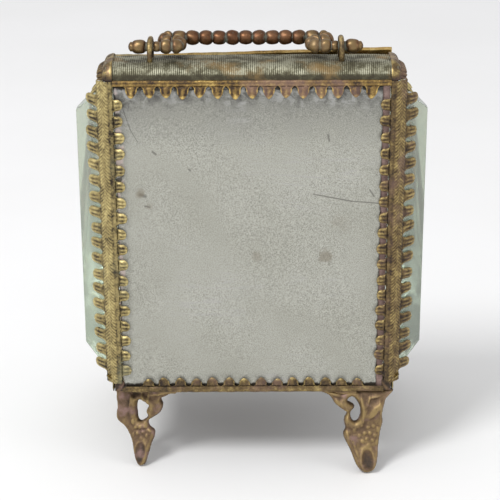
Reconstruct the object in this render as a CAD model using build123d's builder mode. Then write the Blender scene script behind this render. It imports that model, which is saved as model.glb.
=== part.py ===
"""Small glass casket: an upright keepsake box of thick bevelled glass in a stamped brass frame.

Frame: +Z up, millimetres, ground at Z = 0. The silvered back faces -Y and the leaning glass
door faces +Y. X = 0 is the middle plane, and Y = 0 is half way between the back and front toes.
"""

from build123d import *
from math import atan2, cos, degrees, radians, sin, tan
import os

os.makedirs("parts", exist_ok=True)

# ---------------------------------------------------------------- driving dimensions
foot_height = 20.0          # ground to the underside of the base
base_depth = 50.0           # back plane to the foot of the leaning front
body_half_width = 32.75     # outside of the side plates' thin edges in their brass
corner_band = 1.9           # width of the corner strips' flat bands
seam_height = 75.5          # base to the lower edge of the ribbed ridge
ridge_height = 3.8          # rise of the ridge above its lower edge
ridge_front_radius = 4.0
ridge_top_depth = 12.0      # back plane to the unrounded front corner of the ridge
ridge_back_flat = 0.05      # upright part of the ridge's back, below its bend

sheet = 0.4                 # stamped brass sheet
seat_gap = 0.03             # between pieces that lie on each other
glass_gap = 0.05            # between glass and brass
soft_gap = 0.3              # between a silk pad and its neighbours

glass_edge = 1.0            # thickness of the bevelled plates at their edge
side_glass_rise = 7.5       # how far a side plate's face stands out of its thin edge
side_bevel_width = 7.0
side_top_bevel_width = 7.0
door_glass_rise = 3.9
door_bevel_width = 5.0
side_sill_height = 2.7      # brass below the side plates
gable_drop = 1.3            # the side plates stop this far below the ridge's lower edge
jamb_drop = 1.0             # and the front strips this far below the ridge's front bend
front_start = 0.3           # front strips clear the base by this

prong_pitch = 3.8
prong_width = 2.0
back_prong_length = 2.1     # prongs that clasp the back sheet
top_rail_inset = 3.2        # end of the back's top rail to the middle of its first prong
bottom_rail_inset = 5.1     # the same on its bottom rail
post_inset = 5.4            # and on the upright posts
lobe_length = 2.25          # lobes that lie on the side glasses' bevels
bevel_band = 2.4            # ribbed brass on the bevel before the lobes start
door_lobe_length = 1.9      # and the same two on the door
door_bevel_band = 0.7
post_rise = 2.2             # base to the foot of the back corner strips
bevel_lap = 0.2             # and what it overlaps the corner by
back_bottom_rail = 1.8
back_top_rail = 1.7
front_rail = 2.4
lobe_inset = 1.6            # end of a strip to the middle of its first lobe
flange_lap = 0.1            # corner flanges reach this far round the glass edge
inner_flange = 2.6          # how far the hidden flanges reach behind the glass
post_flange_start = 6.5     # base to the foot of a post's hidden flange
post_flange_drop = 1.0      # top of the glass to its head
jamb_flange_inset = 8.0     # ends of a front strip to its hidden flange
sill_inset = 4.4            # ends of a sill's lobes and ledge
sill_lip = 1.6              # the sill's hidden lip above the glass's lower edge
gable_inset = 2.6
ridge_tuck = 1.2            # the ribbed sheet goes this far behind the rails
tongue_overlap = 0.02

back_sheet_thickness = 0.4
back_sheet_shy = 1.6        # the silvered sheet stops this far short of its card's right edge
card_thickness = 1.0
back_pad_thickness = 3.0
base_plate_thickness = 0.5
base_pad_thickness = 4.0
lining_inset = 0.2          # glass's inner flanges to the lining
back_panel_drop = 0.1       # top of the back panel below the ridge's tucked edge
back_pad_drop = 1.5         # top of the back pad below the panel's
base_plate_set_back = 0.1
base_pad_round = 1.4
back_pad_round = 1.2

door_side_inset = 0.45      # side plates' brass to the door's edge
door_frame_width = 2.6
door_web_lap = 0.15         # the door's outer webs reach this far past the glass edge
door_lobe_inset = 1.0
door_top_low = 0.2          # the top rail's upturned edge at the free side
door_top_high = 2.4         # and at the hinge side, where it is sprung
door_start = 1.0            # foot of the front to the door's lower edge
door_rest_gap = 0.25        # door to front frame

hinge_gap = 0.3             # door edge to the knuckles
hinge_knuckle_radius = 0.95
hinge_pin_radius = 0.45
hinge_pin_clearance = 0.05
knuckle_length = 2.4
knuckle_gap = 0.15
lower_hinge_rise = 14.0     # foot of the front to the middle of the lower hinge
upper_hinge_drop = 18.5     # top of the front to the middle of the upper hinge
hinge_out = 1.3             # front plane to the hinge's axis
hinge_leaf = 0.2
hinge_leaf_low = 0.6        # front plane to the door leaf's lower edge
hinge_leaf_lap = 0.2        # the frame's leaf starts this far past the corner band's edge
hinge_neck = 0.3            # half thickness of the web between a leaf and its knuckles
hinge_wall = 0.1            # web to bore
pin_head_radius = 0.7
pin_head = 0.4
pull_reach = 2.6
pull_width = 4.0
pull_thickness = 0.5
pull_out = 1.0              # front plane to the pull tab

handle_offset = -1.3        # the handle sits a little off the middle
ring_inset = 11.55          # side plates' brass to the ring, before the offset
ring_radius = 2.75          # to the middle of the wire
ring_wire_radius = 0.65
bar_depth = 12.8            # back plane to the handle's bar
ring_rise = 1.7             # top of the ridge to the ring's middle
pivot_rise = 2.65           # top of the ridge to the handle's axis
handle_tilt = 3.0           # the bar stands this many degrees above level
rod_radius = 1.1
turn_rod_radius = 1.2
turn_bead_angles = (60, 120)
bead_radius = 1.65
knob_radius = 1.75
turn_radius = 1.7
turn_inset = 4.7            # ring to the middle of the handle's turn
bar_bead_pitch = 3.0
arm_bead_inset = 2.4        # ring to the bead beside it
knob_reach = 2.7            # ring to the middle of the end knob
knob_tip_reach = 1.5        # knob to its tip
knob_tip_radius = 0.73
turn_bead_spin = (37, 21, 0)  # keeps the beads' seams off the turns

toe_kick = 5.0              # back plane to the back right toe, and front plane to the front toes
toe_inset = 5.85            # side plates' brass to the middle of a toe
turned_foot_inset = 5.35    # and to that of the back left foot, which is bent round
turned_foot_kick = 1.0
turned_foot_angle = 18
foot_casting = 3.0
foot_depth = 12.0           # room for the side profile behind a toe
foot_width = 32.0

# ---------------------------------------------------------------- derived places
back_y = -base_depth / 2
front_y = back_y + base_depth
base_z = foot_height
seam_z = base_z + seam_height
ridge_z = seam_z + ridge_height
seam_half_width = body_half_width - corner_band
ridge_back_radius = ridge_height - ridge_back_flat
front_lean = degrees(atan2(base_depth - ridge_top_depth, seam_height + ridge_height))
lean_sin = sin(radians(front_lean))
lean_cos = cos(radians(front_lean))
front_turn = radians(90 - front_lean)
front_tangent = ridge_front_radius * tan(front_turn / 2)
front_length = (ridge_z - base_z) / lean_cos        # from the base to the unrounded corner
ridge_corner_y = front_y - front_length * lean_sin
front_flat_length = front_length - front_tangent    # up to where the ridge starts to bend
jamb_length = front_flat_length - jamb_drop

glass_inner_x = body_half_width - sheet - glass_edge - glass_gap
glass_edge_x = glass_inner_x + glass_edge
glass_outer_x = glass_edge_x + side_glass_rise
flange_x = glass_edge_x + flange_lap
side_plate_x = flange_x + seat_gap

up_front = Vector(0, -lean_sin, lean_cos)
out_front = Vector(0, lean_cos, lean_sin)
front_plane = Plane(origin=(0, front_y, base_z), x_dir=(-1, 0, 0), z_dir=out_front)


def on_front(x, along, out):
    """A point given by x, its distance up the leaning front, and its distance out of it."""
    start = Vector(x, front_y, base_z)
    return start + up_front * along + out_front * out


def save(piece, label):
    piece.part.label = label
    export_step(piece.part, f"parts/{label}.step")


def bevel_plane(edge_point, inward, outward, width, rise, lift=0.0):
    """The plane of a bevel that starts at edge_point and climbs as it goes inward."""
    slope = (inward * width + outward * rise).normalized()
    normal = (outward * width - inward * rise).normalized()
    start = Vector(*edge_point) + normal * lift
    return Plane(origin=start, x_dir=slope, z_dir=normal)


def tongue_rows(start, end, inset):
    """Evenly pitched middles of the tongues between two places along an edge."""
    room = abs(end - start) - 2 * inset
    count = int(room // prong_pitch) + 1
    first = min(start, end) + inset + (room - (count - 1) * prong_pitch) / 2
    return [first + row * prong_pitch for row in range(count)]


def tongued_strip(plane, start, end, low, high, tongue, inset=lobe_inset):
    """A flat strip from low to high across, with round-ended tongues on its high side."""
    tip = prong_width / 2
    rows = tongue_rows(start, end, inset)
    reach = high + tongue - tip
    with BuildSketch(plane) as strip:
        with Locations(((low + high) / 2, (start + end) / 2)):
            Rectangle(high - low, abs(end - start))
        with Locations(*[((high + reach) / 2, row) for row in rows]):
            Rectangle(reach - high + tongue_overlap, prong_width)
        with Locations(*[(reach, row) for row in rows]):
            Circle(tip)
    extrude(strip.sketch, amount=sheet)


def block(x_range, y_range, z_range):
    """A plain plate between two corners."""
    middle = [(pair[0] + pair[1]) / 2 for pair in (x_range, y_range, z_range)]
    with Locations(tuple(middle)):
        Box(abs(x_range[1] - x_range[0]), abs(y_range[1] - y_range[0]), abs(z_range[1] - z_range[0]))


# ---------------------------------------------------------------- side plates of glass
glass_back_y = back_y + sheet + glass_gap
glass_bottom_z = base_z + side_sill_height
glass_top_z = seam_z - gable_drop
front_inset = (sheet + glass_gap) / lean_cos


def front_edge_y(z, inset=0.0):
    """Where the leaning front stands at a height, set back by an inset."""
    return front_y - inset - (z - base_z) * tan(radians(front_lean))


glass_outline = [
    (glass_back_y, glass_bottom_z),
    (glass_back_y, glass_top_z),
    (front_edge_y(glass_top_z, front_inset), glass_top_z),
    (front_edge_y(glass_bottom_z, front_inset), glass_bottom_z),
]
back_inward = Vector(0, 1, 0)
bottom_inward = Vector(0, 0, 1)
top_inward = Vector(0, 0, -1)
front_inward = out_front * -1


def side_bevels(side, lift=0.0):
    """Planes of a side plate's four bevels: back, bottom, top and front."""
    outward = Vector(side, 0, 0)
    edge_x = side * glass_edge_x
    corners = [(edge_x, y, z) for y, z in glass_outline]
    return {
        "back": bevel_plane(corners[0], back_inward, outward, side_bevel_width, side_glass_rise, lift),
        "bottom": bevel_plane(corners[0], bottom_inward, outward, side_bevel_width, side_glass_rise, lift),
        "top": bevel_plane(corners[1], top_inward, outward, side_top_bevel_width, side_glass_rise, lift),
        "front": bevel_plane(corners[3], front_inward, outward, side_bevel_width, side_glass_rise, lift),
    }


def side_glass(label, side):
    with BuildPart() as plate:
        with BuildSketch(Plane.YZ.offset(side * glass_inner_x)):
            Polygon(*glass_outline, align=None)
        extrude(amount=side * (glass_outer_x - glass_inner_x))
        for plane in side_bevels(side).values():
            split(bisect_by=plane, keep=Keep.BOTTOM)
    save(plate, label)


side_glass("left_glass", -1)
side_glass("right_glass", 1)


# ---------------------------------------------------------------- corner strips
def along_limits(plane, low_z, high_z):
    """A bevel plane's own y for two heights on its edge."""
    climb = plane.y_dir.Z
    return sorted(((low_z - plane.origin.Z) / climb, (high_z - plane.origin.Z) / climb))


def back_post(label, side):
    """An upright corner strip: prongs onto the back sheet, lobes onto the side glass."""
    face = Plane(origin=(0, back_y + sheet, 0), x_dir=(-side, 0, 0), z_dir=(0, -1, 0))
    with BuildPart() as post:
        start, end = base_z * face.y_dir.Z, seam_z * face.y_dir.Z
        tongued_strip(face, start, end, -flange_x, -seam_half_width, back_prong_length, post_inset)
        bevel = side_bevels(side, glass_gap)["back"]
        low, high = along_limits(bevel, glass_bottom_z, glass_top_z)
        tongued_strip(bevel, low, high, -bevel_lap, bevel_band, lobe_length)
        block(
            (side * (glass_inner_x - glass_gap - sheet), side * (glass_inner_x - glass_gap)),
            (back_y + sheet / 2, back_y + inner_flange),
            (base_z + post_flange_start, glass_top_z - post_flange_drop),
        )
        split(bisect_by=Plane.XY.offset(base_z + post_rise), keep=Keep.TOP)
    save(post, label)


def front_jamb(label, side):
    """A leaning corner strip: flat under the door's edge, lobes onto the side glass."""
    with BuildPart() as jamb:
        with BuildSketch(front_plane.offset(-sheet)):
            with Locations((-side * (seam_half_width + flange_x) / 2, (front_start + jamb_length) / 2)):
                Rectangle(flange_x - seam_half_width, jamb_length - front_start)
        extrude(amount=sheet)
        bevel = side_bevels(side, glass_gap)["front"]
        low, high = along_limits(bevel, glass_bottom_z + front_start, glass_top_z - front_start)
        tongued_strip(bevel, low, high, -bevel_lap, bevel_band, lobe_length)
        with BuildSketch(front_plane.offset(-inner_flange)):
            with Locations((-side * (glass_inner_x - glass_gap - sheet / 2), jamb_length / 2)):
                Rectangle(sheet, jamb_length - 2 * jamb_flange_inset)
        extrude(amount=inner_flange - sheet / 2)
    save(jamb, label)


def side_sill(label, side):
    """The strip under a side plate, with lobes up onto its bottom bevel."""
    with BuildPart() as sill:
        back_end = back_y + sheet + seat_gap
        with BuildSketch(Plane.YZ.offset(side * side_plate_x)):
            Polygon(
                (back_end, base_z),
                (back_end, glass_bottom_z - glass_gap),
                (front_edge_y(glass_bottom_z, front_inset), glass_bottom_z - glass_gap),
                (front_edge_y(base_z, front_inset), base_z),
                align=None,
            )
        extrude(amount=side * sheet)
        bevel = side_bevels(side, glass_gap)["bottom"]
        run = front_edge_y(glass_bottom_z, front_inset) - glass_back_y
        ends = sorted((sill_inset * bevel.y_dir.Y, (run - sill_inset) * bevel.y_dir.Y))
        tongued_strip(bevel, ends[0], ends[1], -bevel_lap, bevel_band, lobe_length)
        block(
            (side * (glass_inner_x - glass_gap - sheet), side * (side_plate_x + sheet / 2)),
            (back_end + inner_flange, front_edge_y(glass_bottom_z) - sill_inset),
            (glass_bottom_z - glass_gap - sheet, glass_bottom_z - glass_gap),
        )
        block(
            (side * (glass_inner_x - glass_gap - sheet), side * (glass_inner_x - glass_gap)),
            (back_end + inner_flange, front_edge_y(glass_bottom_z) - sill_inset),
            (glass_bottom_z - glass_gap - sheet, glass_bottom_z + sill_lip),
        )
    save(sill, label)


back_post("back_left_post", -1)
back_post("back_right_post", 1)
front_jamb("front_left_jamb", -1)
front_jamb("front_right_jamb", 1)
side_sill("left_side_sill", -1)
side_sill("right_side_sill", 1)

# ---------------------------------------------------------------- back rails and front rails
rail_half = seam_half_width - seat_gap

with BuildPart() as back_top:
    face = Plane(origin=(0, back_y + sheet, 0), x_dir=(0, 0, -1), z_dir=(0, -1, 0))
    top_band = (-seam_z, back_top_rail - seam_z)
    tongued_strip(face, -rail_half, rail_half, *top_band, back_prong_length, top_rail_inset)
save(back_top, "back_top_rail")

with BuildPart() as back_bottom:
    face = Plane(origin=(0, back_y + sheet, 0), x_dir=(0, 0, 1), z_dir=(0, -1, 0))
    bottom_band = (base_z, base_z + back_bottom_rail)
    tongued_strip(face, -rail_half, rail_half, *bottom_band, back_prong_length, bottom_rail_inset)
save(back_bottom, "back_bottom_rail")

with BuildPart() as sill_strip:
    with BuildSketch(front_plane.offset(-sheet)):
        with Locations((0, (front_start + front_rail) / 2)):
            Rectangle(2 * rail_half, front_rail - front_start)
    extrude(amount=sheet)
save(sill_strip, "front_sill")

with BuildPart() as lintel:
    with BuildSketch(front_plane.offset(-sheet)):
        with Locations((0, jamb_length - front_rail / 2)):
            Rectangle(2 * rail_half, front_rail)
    extrude(amount=sheet)
save(lintel, "front_lintel")


# ---------------------------------------------------------------- ridge and gables
ridge_bends = (
    Vector(back_y + ridge_back_radius, ridge_z - ridge_back_radius),
    Vector(ridge_corner_y - front_tangent, ridge_z - ridge_front_radius),
)


def ridge_path(inset, back_low, front_along):
    """The ridge's section line, set in from its outer surface, as edges and its two ends."""
    back_radius, front_radius = ridge_back_radius - inset, ridge_front_radius - inset
    back_bend, front_bend = ridge_bends
    slope_out = Vector(lean_cos, lean_sin)
    slope_foot = Vector(front_y, base_z) - slope_out * inset
    back_end = Vector(back_y + inset, back_low)
    front_end = slope_foot + Vector(-lean_sin, lean_cos) * front_along
    Line(back_end, (back_y + inset, back_bend.Y))
    CenterArc(back_bend, back_radius, 180, -90)
    Line((back_bend.X, ridge_z - inset), (front_bend.X, ridge_z - inset))
    CenterArc(front_bend, front_radius, 90, front_lean - 90)
    Line(front_bend + slope_out * front_radius, front_end)
    return back_end, front_end


def ridge_strip(inset, back_low, front_along):
    """A face one sheet thick that follows the ridge."""
    with BuildLine() as outline:
        outer_ends = ridge_path(inset, back_low, front_along)
        inner_ends = ridge_path(inset + sheet, back_low, front_along)
        Line(outer_ends[0], inner_ends[0])
        Line(outer_ends[1], inner_ends[1])
    make_face(outline.edges())


ridge_inset = sheet + seat_gap
ridge_half = side_plate_x - seat_gap
ring_half_span = body_half_width - ring_inset
bar_reach = 4 * turn_radius
handle_depth = bar_depth - bar_reach
ring_middle = Vector(0, back_y + handle_depth, ridge_z + ring_rise)
ring_places = [handle_offset - ring_half_span, handle_offset + ring_half_span]

with BuildPart() as ridge:
    with BuildSketch(Plane.YZ.offset(-ridge_half)):
        ridge_strip(ridge_inset, seam_z - ridge_tuck, jamb_length - ridge_tuck)
    extrude(amount=2 * ridge_half)
    for ring_x in ring_places:
        with Locations(Location((ring_x, ring_middle.Y, ring_middle.Z), (0, 90, 0))):
            Torus(ring_radius, ring_wire_radius + glass_gap, mode=Mode.SUBTRACT)
save(ridge, "ribbed_ridge")


def gable(label, side):
    """The band over one end of the ridge, its end plate, and lobes onto the glass below."""
    plate_low = glass_top_z + glass_gap
    with BuildPart() as end:
        with BuildSketch(Plane.YZ.offset(side * seam_half_width)):
            ridge_strip(0, seam_z + seat_gap, jamb_length + seat_gap)
        extrude(amount=side * (side_plate_x + sheet - seam_half_width))
        with BuildSketch(Plane.YZ.offset(side * side_plate_x)):
            with BuildLine():
                ends = ridge_path(0, plate_low, (plate_low - base_z) / lean_cos)
                Line(ends[0], ends[1])
            make_face()
        extrude(amount=side * sheet)
        bevel = side_bevels(side, glass_gap)["top"]
        run = front_edge_y(glass_top_z, front_inset) - glass_back_y
        limits = sorted((gable_inset * bevel.y_dir.Y, (run - gable_inset) * bevel.y_dir.Y))
        tongued_strip(bevel, limits[0], limits[1], -bevel_lap, bevel_band, lobe_length)
    save(end, label)


gable("left_gable", -1)
gable("right_gable", 1)

# ---------------------------------------------------------------- back panel, base and lining
lining_half = glass_inner_x - glass_gap - sheet - lining_inset
back_sheet_y = back_y + sheet + seat_gap
back_card_y = back_sheet_y + back_sheet_thickness + seat_gap
back_pad_y = back_card_y + card_thickness + seat_gap
base_plate_top = base_z + base_plate_thickness
base_card_top = base_plate_top + seat_gap + card_thickness
base_pad_top = base_card_top + seat_gap + base_pad_thickness
back_panel_top = seam_z - ridge_tuck - back_panel_drop

with BuildPart() as back_sheet:
    block(
        (-lining_half, lining_half - back_sheet_shy),
        (back_sheet_y, back_sheet_y + back_sheet_thickness),
        (base_plate_top + seat_gap, back_panel_top),
    )
save(back_sheet, "silvered_back_sheet")

with BuildPart() as back_card:
    block(
        (-lining_half, lining_half),
        (back_card_y, back_card_y + card_thickness),
        (base_plate_top + seat_gap, back_panel_top),
    )
save(back_card, "back_card")

with BuildPart() as base_plate:
    block(
        (-(side_plate_x - seat_gap), side_plate_x - seat_gap),
        (back_sheet_y, front_edge_y(base_plate_top, front_inset) - base_plate_set_back),
        (base_z, base_plate_top),
    )
save(base_plate, "base_plate")

pad_front_y = front_edge_y(base_pad_top, front_inset) - soft_gap
with BuildPart() as base_card:
    block(
        (-lining_half, lining_half),
        (back_pad_y, pad_front_y),
        (base_plate_top + seat_gap, base_card_top),
    )
save(base_card, "base_card")

with BuildPart() as base_pad:
    block(
        (-(lining_half - soft_gap), lining_half - soft_gap),
        (back_pad_y + soft_gap, pad_front_y),
        (base_card_top + seat_gap, base_pad_top),
    )
    fillet(base_pad.faces().sort_by(Axis.Z)[-1].edges(), base_pad_round)
save(base_pad, "base_cushion")

with BuildPart() as back_pad:
    block(
        (-(lining_half - soft_gap), lining_half - soft_gap),
        (back_pad_y, back_pad_y + back_pad_thickness),
        (base_pad_top + soft_gap, back_panel_top - back_pad_drop),
    )
    fillet(back_pad.faces().sort_by(Axis.Y)[-1].edges(), back_pad_round)
save(back_pad, "back_cushion")

# ---------------------------------------------------------------- door
door_end = front_flat_length
door_half_width = body_half_width - door_side_inset
door_middle = (door_start + door_end) / 2
door_glass_half = door_half_width - sheet - glass_gap
door_glass_low = door_start + sheet + glass_gap
door_glass_high = door_end - sheet - glass_gap
door_glass_out = door_rest_gap + sheet + glass_gap
door_edge_out = door_glass_out + glass_edge
x_axis = Vector(1, 0, 0)
door_edges = {
    "left": (on_front(-door_glass_half, door_middle, door_edge_out), x_axis),
    "right": (on_front(door_glass_half, door_middle, door_edge_out), x_axis * -1),
    "bottom": (on_front(0, door_glass_low, door_edge_out), up_front),
    "top": (on_front(0, door_glass_high, door_edge_out), up_front * -1),
}


def door_bevel(edge, lift=0.0):
    point, inward = door_edges[edge]
    return bevel_plane(point, inward, out_front, door_bevel_width, door_glass_rise, lift)


def front_block(x_range, along_range, out_range):
    """A plate on the leaning front, between distances up it and out of it."""
    with BuildSketch(front_plane.offset(out_range[0])) as plate:
        with Locations((-(x_range[0] + x_range[1]) / 2, (along_range[0] + along_range[1]) / 2)):
            Rectangle(abs(x_range[1] - x_range[0]), along_range[1] - along_range[0])
    extrude(plate.sketch, amount=out_range[1] - out_range[0])


with BuildPart() as door_glass:
    front_block(
        (-door_glass_half, door_glass_half),
        (door_glass_low, door_glass_high),
        (door_glass_out, door_edge_out + door_glass_rise),
    )
    for edge in door_edges:
        split(bisect_by=door_bevel(edge), keep=Keep.BOTTOM)
save(door_glass, "door_glass")

door_inner_out = (door_rest_gap, door_rest_gap + sheet)
door_web_out = (door_rest_gap, door_edge_out + door_web_lap)
stile_inner = door_half_width - door_frame_width
rail_reach = stile_inner - seat_gap


def door_stile(label, side, edge):
    half_run = (door_end - door_start) / 2
    with BuildPart() as stile:
        front_block((side * stile_inner, side * door_half_width), (door_start, door_end), door_inner_out)
        front_block(
            (side * (door_half_width - sheet), side * door_half_width),
            (door_start, door_end),
            door_web_out,
        )
        bevel = door_bevel(edge, glass_gap)
        tongued_strip(bevel, -half_run, half_run, -bevel_lap, door_bevel_band, door_lobe_length)
    save(stile, label)


def door_rail(label, edge, web, flange):
    web_reach = door_half_width - sheet - seat_gap
    with BuildPart() as rail:
        front_block((-rail_reach, rail_reach), flange, door_inner_out)
        front_block((-rail_reach, rail_reach), web, door_web_out)
        above_stile = (door_inner_out[1] + seat_gap, door_web_out[1])
        front_block((-web_reach, web_reach), web, above_stile)
        lobe_reach = rail_reach - door_lobe_inset
        bevel = door_bevel(edge, glass_gap)
        tongued_strip(bevel, -lobe_reach, lobe_reach, -bevel_lap, door_bevel_band, door_lobe_length)
        if edge == "top":
            with BuildSketch(front_plane.offset(above_stile[0])):
                Polygon(
                    (-web_reach, door_end - sheet),
                    (web_reach, door_end - sheet),
                    (web_reach, door_end + door_top_low),
                    (-web_reach, door_end + door_top_high),
                    align=None,
                )
            extrude(amount=above_stile[1] - above_stile[0])
    save(rail, label)


door_stile("door_left_stile", -1, "left")
door_stile("door_right_stile", 1, "right")
bottom_web, bottom_flange = (door_start, door_start + sheet), (door_start, door_start + door_frame_width)
top_web, top_flange = (door_end - sheet, door_end), (door_end - door_frame_width, door_end)
door_rail("door_bottom_rail", "bottom", bottom_web, bottom_flange)
door_rail("door_top_rail", "top", top_web, top_flange)

with BuildPart() as pull:
    pull_edge = -(door_half_width + seat_gap)
    with BuildSketch(front_plane.offset(pull_out)):
        with Locations((-pull_edge + (pull_reach - pull_width / 2) / 2, door_middle)):
            Rectangle(pull_reach - pull_width / 2, pull_width)
        with Locations((-pull_edge + pull_reach - pull_width / 2, door_middle)):
            Circle(pull_width / 2)
        with Locations((-pull_edge - pull_width / 2, door_middle)):
            Rectangle(pull_width, 2 * pull_width, mode=Mode.SUBTRACT)
    extrude(amount=pull_thickness)
save(pull, "door_pull_tab")

# ---------------------------------------------------------------- door hinges
hinge_x = door_half_width + hinge_gap + hinge_knuckle_radius
knuckle_step = knuckle_length + knuckle_gap
hinge_half = 1.5 * knuckle_length + knuckle_gap


def barrel(along, radius, length, mode=Mode.ADD):
    """A round piece on the hinge axis, its middle this far up the front."""
    foot = on_front(hinge_x, along - length / 2, hinge_out)
    with BuildSketch(Plane(origin=foot, x_dir=(1, 0, 0), z_dir=up_front)) as section:
        Circle(radius)
    extrude(section.sketch, amount=length, mode=mode)


def hinge(name, along):
    bore = hinge_pin_radius + hinge_pin_clearance
    lower, upper = along - knuckle_step, along + knuckle_step
    with BuildPart() as frame_leaf:
        front_block(
            (seam_half_width + hinge_leaf_lap, hinge_x),
            (along - hinge_half, along + hinge_half),
            (seat_gap / 2, hinge_leaf),
        )
        for place in (lower, upper):
            span = (place - knuckle_length / 2, place + knuckle_length / 2)
            neck_top = hinge_out - bore - hinge_wall
            front_block((hinge_x - hinge_neck, hinge_x + hinge_neck), span, (seat_gap / 2, neck_top))
            barrel(place, hinge_knuckle_radius, knuckle_length)
        barrel(along, bore, 2 * hinge_half + 1, Mode.SUBTRACT)
    save(frame_leaf, f"{name}_hinge_frame_leaf")
    with BuildPart() as door_leaf:
        span = (along - knuckle_length / 2, along + knuckle_length / 2)
        leaf_x = (door_half_width + seat_gap / 2, door_half_width + hinge_gap - hinge_pin_clearance)
        front_block(leaf_x, (along - hinge_half, along + hinge_half), (hinge_leaf_low, door_web_out[1]))
        neck_out = (hinge_out - hinge_neck, hinge_out + hinge_neck)
        front_block((leaf_x[0], hinge_x - bore - hinge_wall), span, neck_out)
        barrel(along, hinge_knuckle_radius, knuckle_length)
        barrel(along, bore, 2 * hinge_half + 1, Mode.SUBTRACT)
    save(door_leaf, f"{name}_hinge_door_leaf")
    with BuildPart() as pin:
        barrel(along, hinge_pin_radius, 2 * hinge_half)
        barrel(along + hinge_half + pin_head / 2 + seat_gap, pin_head_radius, pin_head)
        barrel(along + hinge_half, hinge_pin_radius, pin_head)
    save(pin, f"{name}_hinge_pin")


hinge("lower", lower_hinge_rise)
hinge("upper", front_flat_length - upper_hinge_drop)

# ---------------------------------------------------------------- handle and its rings
for ring_label, ring_x in zip(("left_handle_ring", "right_handle_ring"), ring_places):
    with BuildPart() as ring:
        with Locations(Location((ring_x, ring_middle.Y, ring_middle.Z), (0, 90, 0))):
            Torus(ring_radius, ring_wire_radius)
    save(ring, ring_label)

tilt = radians(handle_tilt)
handle_plane = Plane(
    origin=(handle_offset, back_y + handle_depth, ridge_z + pivot_rise),
    x_dir=(1, 0, 0),
    z_dir=(0, -sin(tilt), cos(tilt)),
)
turn_middle = ring_half_span - turn_inset
knob_middle = ring_half_span + knob_reach
bar_beads = round(2 * turn_middle / bar_bead_pitch)
bar_pitch = 2 * turn_middle / bar_beads


def beaded_run(forward, low, high, beads):
    """A straight beaded run of the handle, turned about its own line."""
    with BuildSketch(handle_plane) as run:
        with Locations(((low + high) / 2, forward + rod_radius / 2)):
            Rectangle(high - low, rod_radius)
        for across, radius in beads:
            with Locations((across, forward)):
                Circle(radius)
        with Locations((0, forward - knob_middle)):
            Rectangle(4 * knob_middle, 2 * knob_middle, mode=Mode.SUBTRACT)
    line = Axis(handle_plane.from_local_coords(Vector(0, forward, 0)), (1, 0, 0))
    revolve(run.sketch, axis=line, revolution_arc=360)


with BuildPart() as handle:
    bar_places = [-turn_middle + (bead + 0.5) * bar_pitch for bead in range(bar_beads)]
    beaded_run(bar_reach, -turn_middle, turn_middle, [(across, bead_radius) for across in bar_places])
    for side in (-1, 1):
        arm_ends = sorted((side * turn_middle, side * knob_middle))
        arm_beads = [
            (side * (ring_half_span - arm_bead_inset), bead_radius),
            (side * knob_middle, knob_radius),
            (side * (knob_middle + knob_tip_reach), knob_tip_radius),
        ]
        beaded_run(0, *arm_ends, arm_beads)
    for side in (-1, 1):
        with BuildLine(handle_plane) as turn:
            CenterArc((side * turn_middle, turn_radius), turn_radius, -90, -180 * side)
            CenterArc((side * turn_middle, 3 * turn_radius), turn_radius, -90, 180 * side)
        turn_start = handle_plane.from_local_coords(Vector(side * turn_middle, 0, 0))
        with BuildSketch(Plane(origin=turn_start, z_dir=(-side, 0, 0))):
            Circle(turn_rod_radius)
        sweep(path=turn.wires()[0])
        for bend, bulge in ((turn_radius, -1), (3 * turn_radius, 1)):
            for angle in turn_bead_angles:
                across = turn_middle + bulge * turn_radius * sin(radians(angle))
                forward = bend - turn_radius * cos(radians(angle))
                place = handle_plane.from_local_coords(Vector(side * across, forward, 0))
                with Locations(Location(place, turn_bead_spin)):
                    Sphere(bead_radius)
save(handle, "beaded_handle")

# ---------------------------------------------------------------- scroll feet
foot_outline = [
    (5.4, 20.0), (4.9, 16.7), (4.05, 14.6), (4.4, 13.0), (3.45, 9.5), (2.9, 3.6), (1.6, 0.0),
    (-1.4, 0.0), (-3.1, 4.4), (-4.3, 7.1), (-5.3, 9.2), (-4.7, 11.4), (-5.25, 13.2), (-4.6, 14.8),
    (-7.6, 17.0), (-8.6, 18.6), (-12.0, 20.0),
]
foot_eye = [(-4.0, 18.2), (-2.9, 18.3), (-1.3, 16.0), (-1.8, 13.0), (-3.0, 12.6), (-3.5, 15.0), (-2.6, 16.6)]
foot_front = [(5.3, 20.0), (3.6, 16.0), (3.4, 11.0), (2.3, 6.0), (0.0, 2.0), (0.4, 0.0)]
foot_back = [(3.4, 0.0), (3.8, 2.0), (5.0, 6.0), (6.2, 11.0), (6.8, 16.0), (5.3 + foot_casting, 20.0)]
foot_stretch = foot_height / 20.0   # the foot's curves are drawn for a foot 20 high


def stretched(points, side=1):
    return [(side * across, height * foot_stretch) for across, height in points]


def foot(label, toe_x, toe_y, turn, out_side):
    """A pierced scroll foot; turn is the way its face points, counted from -Y."""
    face = Vector(sin(radians(turn)), -cos(radians(turn)), 0)
    across = Vector(cos(radians(turn)), sin(radians(turn)), 0)
    toe = (toe_x, toe_y, 0)
    front_view = Plane(origin=toe, x_dir=across, z_dir=face)
    side_view = Plane(origin=toe, x_dir=(face * -1), z_dir=across)
    with BuildPart() as casting:
        with BuildSketch(front_view):
            Polygon(*stretched(foot_outline, out_side), align=None)
            Polygon(*stretched(foot_eye, out_side), align=None, mode=Mode.SUBTRACT)
        extrude(amount=-foot_depth)
        with BuildSketch(side_view):
            with BuildLine():
                front_curve, back_curve = stretched(foot_front), stretched(foot_back)
                Spline(*front_curve)
                Line(front_curve[-1], back_curve[0])
                Spline(*back_curve)
                Line(back_curve[-1], front_curve[0])
            make_face()
        extrude(amount=foot_width / 2, both=True, mode=Mode.INTERSECT)
    save(casting, label)


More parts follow.
